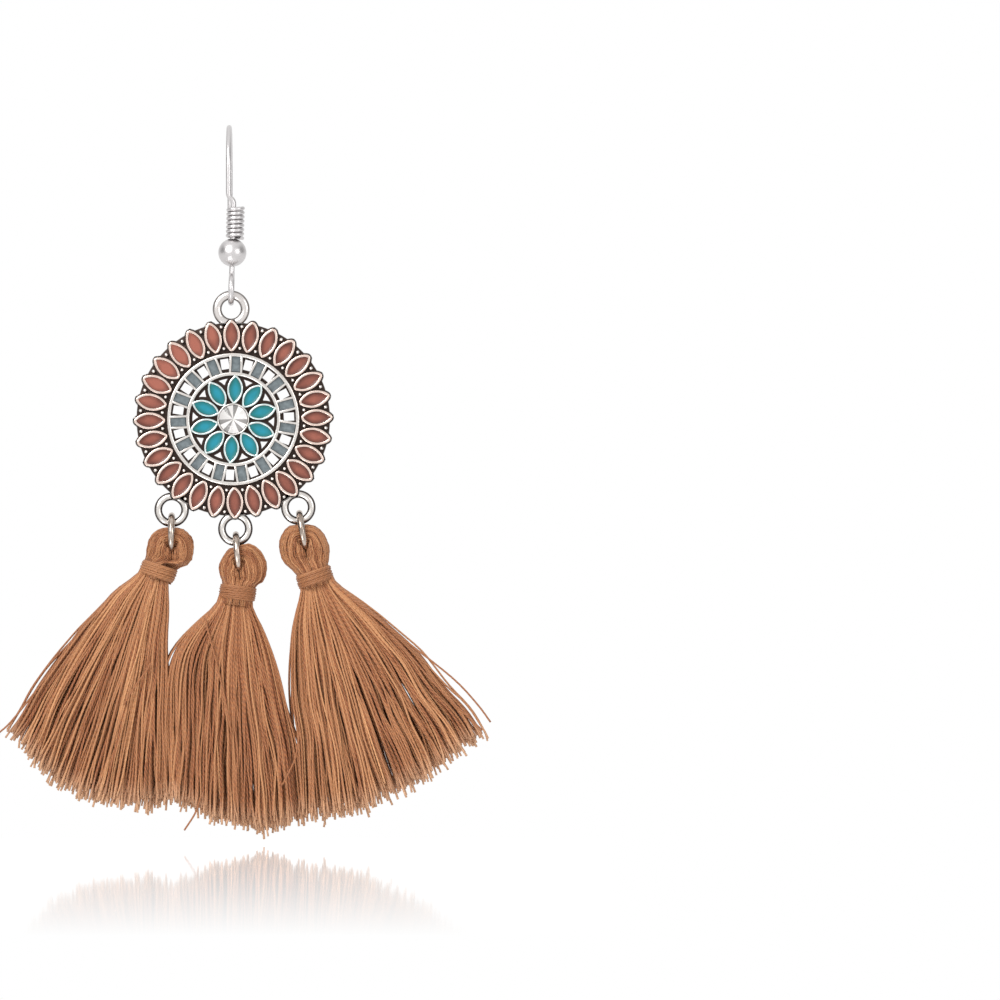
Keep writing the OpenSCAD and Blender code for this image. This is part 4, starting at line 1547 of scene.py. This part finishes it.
@dataclass
class Tassel:
    """A cotton tassel: threads looped over its jump ring, bound at the neck, loose below.

    The skirt's threads are pulled towards the middle of their clump by a share, drift aside, and wave:
    each kind of wave has its size and its least and most turns over a thread's length. Their ends flick,
    and pale towards the tip, from shares of that length; the paling is partly worn cut ends and partly
    painted light against the shade among the tips. The gauge is the range of their thickness. The wraps
    give, for each layer of the binding, its turns, its height over the neck, the share of the binding's
    height that it goes up and down from the middle, and how unevenly it is wound.
    """

    side: Side
    ring: JumpRing
    head_d: float = 3.6
    head_h: float = 4.6
    neck: float = 3.5
    binding_h: float = 2.1
    wrapped_h: float = 1.5
    wrap_thread: float = 0.22
    length: float = 26.0
    depth: float = 5.0
    thread: float = 0.25
    head_thread: float = 0.16
    head_threads: int = 520
    head_steps: int = 27
    skirt_threads: int = 560
    skirt_steps: int = 24
    stray_steps: int = 20
    clumps: int = 54
    loose_share: float = 0.15
    ragged: float = 0.022
    straight: float = 0.9
    crowded: float = 0.5
    thread_gap: float = 0.1
    play: float = 0.02
    under_ring: float = 0.25
    crown_r: float = 2.5
    head_noise: float = 0.06
    tint: tuple[float, float] = (0.3, 0.24)
    pull: tuple[float, float] = (0.1, 0.5)
    drift: float = 0.045
    loose_drift: float = 0.17
    widest: float = 1.04
    waves: Sequence[Point] = ((0.2, 0.5, 1.3), (0.06, 1.8, 3.6))
    sway: float = 0.2
    gauge: tuple[float, float] = (0.8, 1.06)
    flick: float = 0.22
    flick_from: float = 0.86
    fray_from: float = 0.88
    fray: float = 0.8
    wraps: Sequence[Point] = ((9, 0.06, 0.5, 0.02), (8, 0.13, 0.48, 0.04), (5, 0.19, 0.44, 0.07))
    wrap_steps: int = 40

    def __post_init__(self) -> None:
        """Works out the neck's place and starts the tassel's own random numbers."""
        self.fall = FALLS[self.side]
        self.rng = np.random.default_rng(11 + self.side.value)
        self.neck_middle = self.ring.middle + Vector((self.fall.neck_aside * self.head_h, 0,
                                                      -self.fall.neck_down * self.head_h))
        lean = math.radians(self.fall.lean)
        self.down = Vector((-math.sin(lean), 0, -math.cos(lean)))
        self.foot = self.neck_middle + self.binding_h / 2 * self.down

    def build(self, cotton: bpy.types.Material, binding: bpy.types.Material) -> None:
        """Builds and dresses head, skirt and binding.

        Args:
            cotton: The threads' cotton.
            binding: The binding thread's cotton.
        """
        side = self.side.name.lower()
        for work, sides, name, finish, slot, node in (
                (self.loop_head, 4, "head_", cotton, "tassel_cotton", None),
                (self.drop_skirt, 6, "skirt_", cotton, "tassel_cotton", "tassel_"),
                (self.bind_neck, 8, "wrap_", binding, "binding_cotton", "binding_")):
            bundle = ThreadBundle(sides)
            work(bundle)
            piece = bundle.weave(name + side)
            piece.data.materials.append(finish)
            hand_over(piece, name + side, "drop", [node + side] if node else [])

    def loop_head(self, bundle: ThreadBundle) -> None:
        """Loops the head's threads over the jump ring's lower wire.

        Args:
            bundle: Takes the threads.
        """
        number, rng = self.head_threads, self.rng
        half = self.head_thread / 2
        outer = ((np.arange(number) + 0.5) / number) ** 0.9
        rng.shuffle(outer)
        broad = rng.uniform(-1, 1, number)
        broad = np.sign(broad) * np.abs(broad) ** self.crowded
        hole = self.ring.radius - half - self.play
        wire = self.ring.wire / 2 + half + self.play
        core = self.core_line(wire, half - hole)
        crown = spline(np.array(self.fall.crown)[None], len(core))[0] * (1 - half / self.crown_r)
        arch = core + (crown - core) * outer[:, None, None]
        pinch = 0.85 * wire * (1 - outer) * np.abs(broad)
        arch[:, 2, 0] += pinch
        arch[:, 6, 0] -= pinch
        flank_y = broad * (self.head_d / 2 - half) * np.sqrt(1 - 0.7 * (2 * outer - 1) ** 2)
        top_y = broad * np.sqrt(np.clip(hole ** 2 - arch[:, 4, 1] ** 2, 0, None))
        ends = self.neck_ends(outer, broad)
        side_y = 0.5 * (flank_y + top_y)
        depths = (0.85 * flank_y, flank_y, flank_y, side_y, top_y, side_y, flank_y, flank_y, 0.85 * flank_y)
        arch = [np.stack([arch[:, i, 0], depth, arch[:, i, 1]], axis=1) for i, depth in enumerate(depths)]
        controls = np.stack(ends[:2] + arch + ends[:1:-1], axis=1)
        controls[:, 2:-2] += rng.normal(0, self.head_noise, (number, len(arch), 3)) * np.array((1, 0.4, 1))
        paths = spline(controls, self.head_steps) + np.array(self.ring.middle)
        tints = np.clip(rng.normal(*self.tint, number), 0, 1)
        bundle.sweep(paths, np.full(paths.shape[:2], half), tints, np.zeros(paths.shape[:2]))

    def core_line(self, wire: float, top: float) -> np.ndarray:
        """Finds the line of the innermost threads over the jump ring's wire, which leans with the ring.

        Args:
            wire: How far from the wire's middle they pass it.
            top: How high they rise over the ring's middle.

        Returns:
            The line's points from left to right, each as aside and up from the ring's middle.
        """
        low = -self.ring.radius - self.ring.wire - self.under_ring
        flank = [(self.play, low - 0.45), (0.06, low), (wire, low + 0.55), (wire, low + 1)]
        core = np.array([(-x, z) for x, z in flank] + [(0, top)] + flank[::-1])
        tip = math.radians(self.fall.ring_lean)
        return core @ np.array(((math.cos(tip), -math.sin(tip)), (math.sin(tip), math.cos(tip))))

    def neck_ends(self, outer: np.ndarray, broad: np.ndarray) -> list[np.ndarray]:
        """Finds where the head's threads pass the neck, the right ones crossing over if the fall says so.

        Args:
            outer: How far out each thread is in the loop, from 0 to 1.
            broad: Where it is from front -1 to back 1.

        Returns:
            Their points at the binding's foot and at its top, on the left and then on the right.
        """
        neck_r = self.neck / 2
        neck_x = self.play + (neck_r - self.play) * outer
        neck_y = broad * np.sqrt(np.clip(neck_r ** 2 - neck_x ** 2, 0, None))
        lean = Matrix.Rotation(math.radians(self.fall.lean), 3, "Y")
        aside, down = np.array(lean @ Vector((1, 0, 0))), np.array(self.down)
        behind = np.array((0.0, 1.0, 0.0))
        middle = np.array(self.neck_middle - self.ring.middle)
        over = self.fall.crossed * np.clip(-broad - 0.2, 0, 0.8)
        ends = []
        for x_at, back in ((-neck_x, 0.2), (neck_x * (1 - over), -0.15)):
            neck = middle + x_at[:, None] * aside + (neck_y + back * over)[:, None] * behind
            ends += [neck + (self.binding_h / 2 + 0.2) * down, neck + (self.fall.bound_down - 0.8) * down]
        return ends

    def sideways(self, u: np.ndarray, t: np.ndarray) -> np.ndarray:
        """Finds how far aside places in the skirt are.

        Args:
            u: Places from left -1 to right 1.
            t: Shares of the strands' length.

        Returns:
            How far to the right of the foot's middle they are.
        """
        left, right = self.fall.reach
        low = -left * follow(self.fall.left_side, t)
        high = right * follow(self.fall.right_side, t)
        return low + (high - low) * (u + 1) / 2

    def run_aside(self, u: np.ndarray, t: np.ndarray) -> np.ndarray:
        """Finds how far aside the skirt's threads run, straighter towards its middle than its outline is.

        Args:
            u: Places from left -1 to right 1, by thread and step.
            t: Shares of the strands' length, by thread and step.

        Returns:
            How far to the right of the foot's middle they are, by thread and step.
        """
        spread = self.sideways(u, t)
        ends = self.sideways(u[:, -1:], t[:, -1:])
        begun = self.sideways(u[:, :1], t[:, :1])
        return spread + (begun + (ends - begun) * t - spread) * self.straight * (1 - np.abs(u) ** 0.8)

    def wave(self, u: np.ndarray, t: np.ndarray, clump: np.ndarray) -> np.ndarray:
        """Finds how far the skirt's threads wave aside, those of a clump nearly alike.

        Args:
            u: Places from left -1 to right 1, by thread and step.
            t: Shares of the strands' length, by thread and step.
            clump: The number of each thread's clump.

        Returns:
            How far to the right they wave, by thread and step: less at the neck and at the sides.
        """
        rng, number = self.rng, len(clump)
        wave = np.zeros_like(t)
        for size, low, high in self.waves:
            pace = rng.uniform(low, high, self.clumps)[clump] * rng.uniform(0.85, 1.15, number)
            phase = rng.uniform(0, 1, self.clumps)[clump] + rng.normal(0, 0.12, number)
            swing = np.sin(2 * math.pi * (pace[:, None] * t + phase[:, None]))
            wave += size * rng.normal(1, 0.5, number)[:, None] * swing
        return wave * np.clip(3 * t, 0, 1) * (1 - 0.75 * np.clip(np.abs(u) - 0.75, 0, 0.25) / 0.25)

    def drop_skirt(self, bundle: ThreadBundle) -> None:
        """Lets the skirt's threads fall, drawn a little into clumps, some loose and crossing the rest.

        Args:
            bundle: Takes the threads.
        """
        number, rng = self.skirt_threads, self.rng
        loose = rng.uniform(0, 1, number) < self.loose_share
        u_start = -1 + 2 * (np.arange(number) + rng.uniform(0, 1, number)) / number
        u_start *= np.where(loose, 1.0, 0.96)
        v = rng.uniform(-1, 1, number)
        v = np.sign(v) * np.abs(v) ** (0.5 + 0.5 * self.crowded)
        clump_u = -1 + 2 * (np.arange(self.clumps) + rng.uniform(0.1, 0.9, self.clumps)) / self.clumps
        clump = np.argmin(np.abs(clump_u[None] - u_start[:, None] - rng.normal(0, 0.03, (number, 1))), axis=1)
        reached = 1 - self.ragged * (1.6 + rng.normal(0, 1, number))
        t = np.linspace(0, 1, self.skirt_steps)[None] * reached[:, None]
        pull = (rng.uniform(*self.pull, number) * ~loose)[:, None] * np.clip(t * 1.3, 0, 1) ** 1.5
        drift = (rng.normal(0, 1, number) * np.where(loose, self.loose_drift, self.drift))[:, None] * t
        u = u_start[:, None] + (clump_u[clump] - u_start)[:, None] * pull + drift
        u = np.clip(u, -self.widest, self.widest)
        x = self.run_aside(u, t) + self.wave(u, t, clump)
        flick = np.clip((t - self.flick_from) / (1 - self.flick_from), 0, 1.2)
        x += rng.normal(0, self.flick, number)[:, None] * flick ** 2
        half = np.interp(t, (0, 1), (self.neck * 0.36, self.depth / 2 - 0.3))
        y = v[:, None] * half * np.sqrt(np.clip(1 - 0.6 * u ** 2, 0.2, 1))
        turns = rng.uniform(0.6, 2, number)[:, None] * t + rng.uniform(0, 1, number)[:, None]
        y += self.sway * np.sin(2 * math.pi * turns) * t
        slope = math.tan(math.radians(self.fall.lean))
        z = (-t * self.length * follow(self.fall.hem, u, 0.12)
             - (1 - t) * (2 * self.thread_gap + self.sideways(u_start[:, None], np.zeros_like(t)) * slope))
        paths = np.stack([x, y, z], axis=-1)
        inside = paths[:, :1] * np.array((0.9, 0.9, 1)) - (self.binding_h / 2) * np.array(self.down)
        paths = np.concatenate([inside, paths], axis=1) + np.array(self.foot)
        shade = np.clip(rng.normal(0.3, 0.08, self.clumps)[clump] + rng.normal(0, 0.2, number), 0, 1)
        # Paler tips: partly worn cut ends, partly painted light against the shade among the tips.
        frayed_and_lit = np.clip((t - self.fray_from) / (1 - self.fray_from), 0, 1)
        worn = np.concatenate([np.zeros((number, 1)), frayed_and_lit * self.fray], axis=1)
        radii = np.full(paths.shape[:2], self.thread / 2) * rng.uniform(*self.gauge, number)[:, None]
        bundle.sweep(paths, radii, shade, worn)
        self.stray(bundle)

    def stray(self, bundle: ThreadBundle) -> None:
        """Lets single threads stand off the skirt.

        Args:
            bundle: Takes the threads.
        """
        for line in self.fall.strays:
            x, z = np.array(line).T
            front = np.interp(-z, (5, 20), (0.4 * self.neck, self.depth / 2 - self.thread))
            controls = np.stack([x, -front, z], axis=1) + np.array(self.ring.middle)
            path = spline(controls[None], self.stray_steps)
            bundle.sweep(path, np.full(path.shape[:2], 0.4 * self.thread), np.array([0.15]),
                         np.zeros(path.shape[:2]))

    def bind_neck(self, bundle: ThreadBundle) -> None:
        """Winds the binding round the neck in slanting, uneven turns.

        Args:
            bundle: Takes the thread.
        """
        rng, half = self.rng, self.wrap_thread / 2
        for turns, over, spread, wobble in self.wraps:
            steps = self.wrap_steps * turns
            angle = np.linspace(0, 2 * math.pi * turns, steps)
            height = self.wrapped_h * spread * (2 * angle / angle[-1] - 1)
            height += wobble * np.sin(angle + rng.uniform(0, 6)) + 0.5 * wobble * np.sin(0.37 * angle)
            height -= self.fall.bound_down
            around = (self.neck / 2 + over) * (1 + 0.012 * np.sin(1.7 * angle + rng.uniform(0, 6)))
            start_at = rng.uniform(1, 2.5)
            x, y = around * np.cos(angle + start_at), around * np.sin(angle + start_at)
            paths = self.on_neck(x, y, height)[None]
            bundle.sweep(paths, np.full((1, steps), half), np.array([rng.uniform(0.2, 0.45)]),
                         np.zeros((1, steps)), across=tuple(self.down))

    def on_neck(self, x: np.ndarray, y: np.ndarray, z: np.ndarray) -> np.ndarray:
        """Carries points from the neck's own upright frame to its place.

        Args:
            x: How far to the right they are.
            y: How far behind.
            z: How far up.

        Returns:
            The points.
        """
        lean = math.radians(self.fall.lean)
        turned = np.stack([x * math.cos(lean) + z * math.sin(lean), y,
                           z * math.cos(lean) - x * math.sin(lean)], axis=-1)
        return turned + np.array(self.neck_middle)


# Studio


@dataclass(frozen=True)
class Lamp:
    """A square soft box turned to the earring, in millimetres of the frame and watts."""

    name: str
    place: Point
    size: float
    power: float


@dataclass
class Studio:
    """A plain pale floor under soft light, seen from the front with a long lens.

    The tent gives pairs of the place from front to back and the brightness there. The floor mirrors in
    a patch under the earring that ends softly to all sides.
    """

    middle: tuple[float, float] = (29.865, -40.79)
    breadth: float = 110.0
    lens: float = 500.0
    sensor: float = 36.0
    sight_m: float = 50.0
    floor_z: float = -78.5
    floor_size: float = 6000.0
    shine: float = 0.7
    shine_gain: float = 1.22
    shine_rough: float = 0.04
    shine_ends: float = 330.0
    shine_half: float = 25.0
    shine_fade: float = 1.7
    shine_behind: float = 14.0
    tent: Sequence[Point] = ((0.0, 0.95), (0.1, 0.85), (0.23, 0.5), (0.4, 0.27), (0.56, 0.3), (0.7, 0.65),
                             (0.95, 1.02), (1.0, 1.02))
    roof: float = 1.05
    roof_from: float = 0.35
    roof_to: float = 0.85
    aim_z: float = -40.0
    lamps: Sequence[Lamp] = (Lamp("key", (-220, -330, 200), 260, 1.6),
                             Lamp("fill", (300, -300, 60), 200, 0.35))

    def set_camera(self, front: float) -> None:
        """Sets up the camera so that the picture is as broad as the photo at the earring's depth.

        Args:
            front: Depth of the earring's middle plane, in millimetres.
        """
        camera = bpy.data.cameras.new("camera")
        camera.lens, camera.sensor_width, camera.clip_end = self.lens, self.sensor, self.sight_m
        holder = bpy.data.objects.new("camera", camera)
        holder.location = (self.middle[0] * MM, (front - self.breadth * self.lens / self.sensor) * MM,
                           self.middle[1] * MM)
        holder.rotation_euler = (math.pi / 2, 0, 0)
        scene = bpy.context.scene
        scene.collection.objects.link(holder)
        scene.camera = holder
        scene.view_settings.view_transform = "Standard"

    def lay_floor(self) -> None:
        """Lays the pale floor, which mirrors under the earring and fades towards the viewer."""
        floor = start(bpy.ops.mesh.primitive_plane_add, size=self.floor_size * MM,
                      location=(0, 0, self.floor_z * MM))
        leave()
        material, tree = new_material("pale_floor")
        place = add_node(tree, "TexCoord").outputs["Object"]
        split = add_node(tree, "SeparateXYZ", links={0: place}).outputs
        fade = add_node(tree, "MapRange", {"From Min": -self.shine_ends * MM, "From Max": 0.0,
                                           "To Max": self.shine}, {"Value": split["Y"]})
        before = add_node(tree, "MapRange", {"interpolation_type": "SMOOTHSTEP",
                                             "From Max": self.shine_behind * MM,
                                             "To Min": 1.0, "To Max": 0.0}, {"Value": split["Y"]})
        aside = add_node(tree, "Math", {"operation": "ABSOLUTE"}, {0: split["X"]})
        near = add_node(tree, "MapRange", {"interpolation_type": "SMOOTHSTEP",
                                           "From Min": self.shine_half * MM,
                                           "From Max": self.shine_fade * self.shine_half * MM,
                                           "To Min": 1.0, "To Max": 0.0}, {"Value": aside})
        below = add_node(tree, "Math", {"operation": "MULTIPLY"}, {0: before, 1: near})
        share = add_node(tree, "Math", {"operation": "MULTIPLY"}, {0: fade, 1: below})
        white = add_node(tree, "Emission", {"Color": (1, 1, 1, 1), "Strength": 1.0})
        gloss = add_node(tree, "BsdfGlossy", {"Color": grey(self.shine_gain), "Roughness": self.shine_rough})
        mix = add_node(tree, "MixShader", links={0: share, 1: white, 2: gloss})
        add_node(tree, "OutputMaterial", links={0: mix})
        floor.data.materials.append(material)
        floor.name = "floor"

    def light(self) -> None:
        """Lights the set: a white tent, darker at the sides, a soft key at the upper left and a weak fill."""
        world = bpy.data.worlds.new("tent")
        bpy.context.scene.world = world
        world.use_nodes = True
        tree = world.node_tree
        tree.nodes.clear()
        way = add_node(tree, "TexCoord").outputs["Generated"]
        split = add_node(tree, "SeparateXYZ", links={0: way}).outputs
        depth = add_node(tree, "MapRange", {"From Min": -1.0}, {"Value": split["Y"]})
        stops = [(place, grey(tone)) for place, tone in self.tent]
        tent = add_node(tree, "ValToRGB", {"stops": stops}, {"Fac": depth})
        above = add_node(tree, "MapRange", {"interpolation_type": "SMOOTHSTEP", "From Min": self.roof_from,
                                            "From Max": self.roof_to}, {"Value": split["Z"]})
        seen = add_node(tree, "LightPath").outputs["Is Camera Ray"]
        lit = add_node(tree, "Mix", {"data_type": "RGBA", 7: grey(self.roof)}, {0: above, 6: tent}).outputs[2]
        colour = add_node(tree, "Mix", {"data_type": "RGBA", 7: grey(1.0)}, {0: seen, 6: lit}).outputs[2]
        shine = add_node(tree, "Background", {"Strength": 1.0}, {"Color": colour})
        add_node(tree, "OutputWorld", links={0: shine})
        for lamp in self.lamps:
            box = bpy.data.lights.new(lamp.name, "AREA")
            box.size, box.energy = lamp.size * MM, lamp.power
            holder = bpy.data.objects.new(lamp.name, box)
            holder.location = Vector(lamp.place) * MM
            way = Vector((0, 0, self.aim_z * MM)) - holder.location
            holder.rotation_euler = way.to_track_quat("-Z", "Y").to_euler()
            bpy.context.scene.collection.objects.link(holder)


# The earring


def finish_casting(middle: Vector) -> CastingFinishes:
    """Makes the casting's finishes.

    Args:
        middle: The medallion's middle in the frame, in millimetres.

    Returns:
        The finishes.
    """
    return CastingFinishes(*(finish.make(middle) for finish in (
        AntiqueSilverCasting("antique_silver"),
        AntiqueSilverCasting("lip_silver", bright="#8D8984", rubbed_from=-2, rubbed_to=-1.5),
        # Painted reflection: the rims' silver is tinted pink by the petals and pale cyan by the rosette, for
        # the enamel colour seen in them.
        AntiqueSilverCasting("petal_rim_silver", bright="#EDD6CA"),
        AntiqueSilverCasting("leaf_rim_silver", bright="#DCE9E8"),
        # Partly painted shade: the hanging rings are dark further up their rounding than the patina
        # elsewhere, for the shade on their walls; grey on the upper ring, near black on the lower ones.
        AntiqueSilverCasting("upper_ring_silver", "#E0DBD8", "#8B8683", rubbed_from=0.44, rubbed_to=0.59),
        AntiqueSilverCasting("lower_ring_silver", black="#4A4340", rubbed_from=0.47, rubbed_to=0.6))))


def hang_tassels(medallion: Medallion) -> None:
    """Hangs the three tassels from the medallion's lower rings, each by its jump ring.

    Args:
        medallion: The medallion.
    """
    aged = AgedPlate().make()
    cotton = TwistedCotton("tassel_cotton").make()
    binding = TwistedCotton("binding_cotton", thread="#8F5530").make()
    for side in Side:
        ring = JumpRing(medallion.ring_middle(side.value), FALLS[side].ring_lean)
        down = medallion.hole_r - ring.wire / 2 - medallion.hang_gap + ring.wire_r
        lean = math.radians(ring.lean)
        ring.middle = ring.middle - down * Vector((math.sin(lean), 0, math.cos(lean)))
        ring.build(aged, side.name.lower())
        Tassel(side, ring).build(cotton, binding)


def main() -> None:
    """Builds the earring from the top down and sets it in the studio."""
    logging.basicConfig(level=logging.INFO)
    hook = EarHook()
    hook.build(PolishedSilverPlate().make())
    medallion = Medallion(hook)
    medallion.build_casting(finish_casting(medallion.middle))
    # The terracotta enamel takes a painted reflection of the soft box towards its upper left.
    enamels = (SoftEnamel("terracotta_enamel", "#4E2114", "#965646", 0.6, 0.8, thin_share=0.55),
               SoftEnamel("slate_enamel", "#4C5457", "#7D878B", cloud_mm=0.4),
               SoftEnamel("teal_enamel", "#006260", "#10849A", thin_share=0.6))
    medallion.build_enamels(*(enamel.make(medallion.middle, medallion.petal_at) for enamel in enamels))
    medallion.set_stone(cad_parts["crystal"], FoiledCrystal().make())
    hang_tassels(medallion)
    studio = Studio()
    studio.set_camera(medallion.middle.y)
    studio.lay_floor()
    studio.light()


if __name__ == "__main__":
    main()
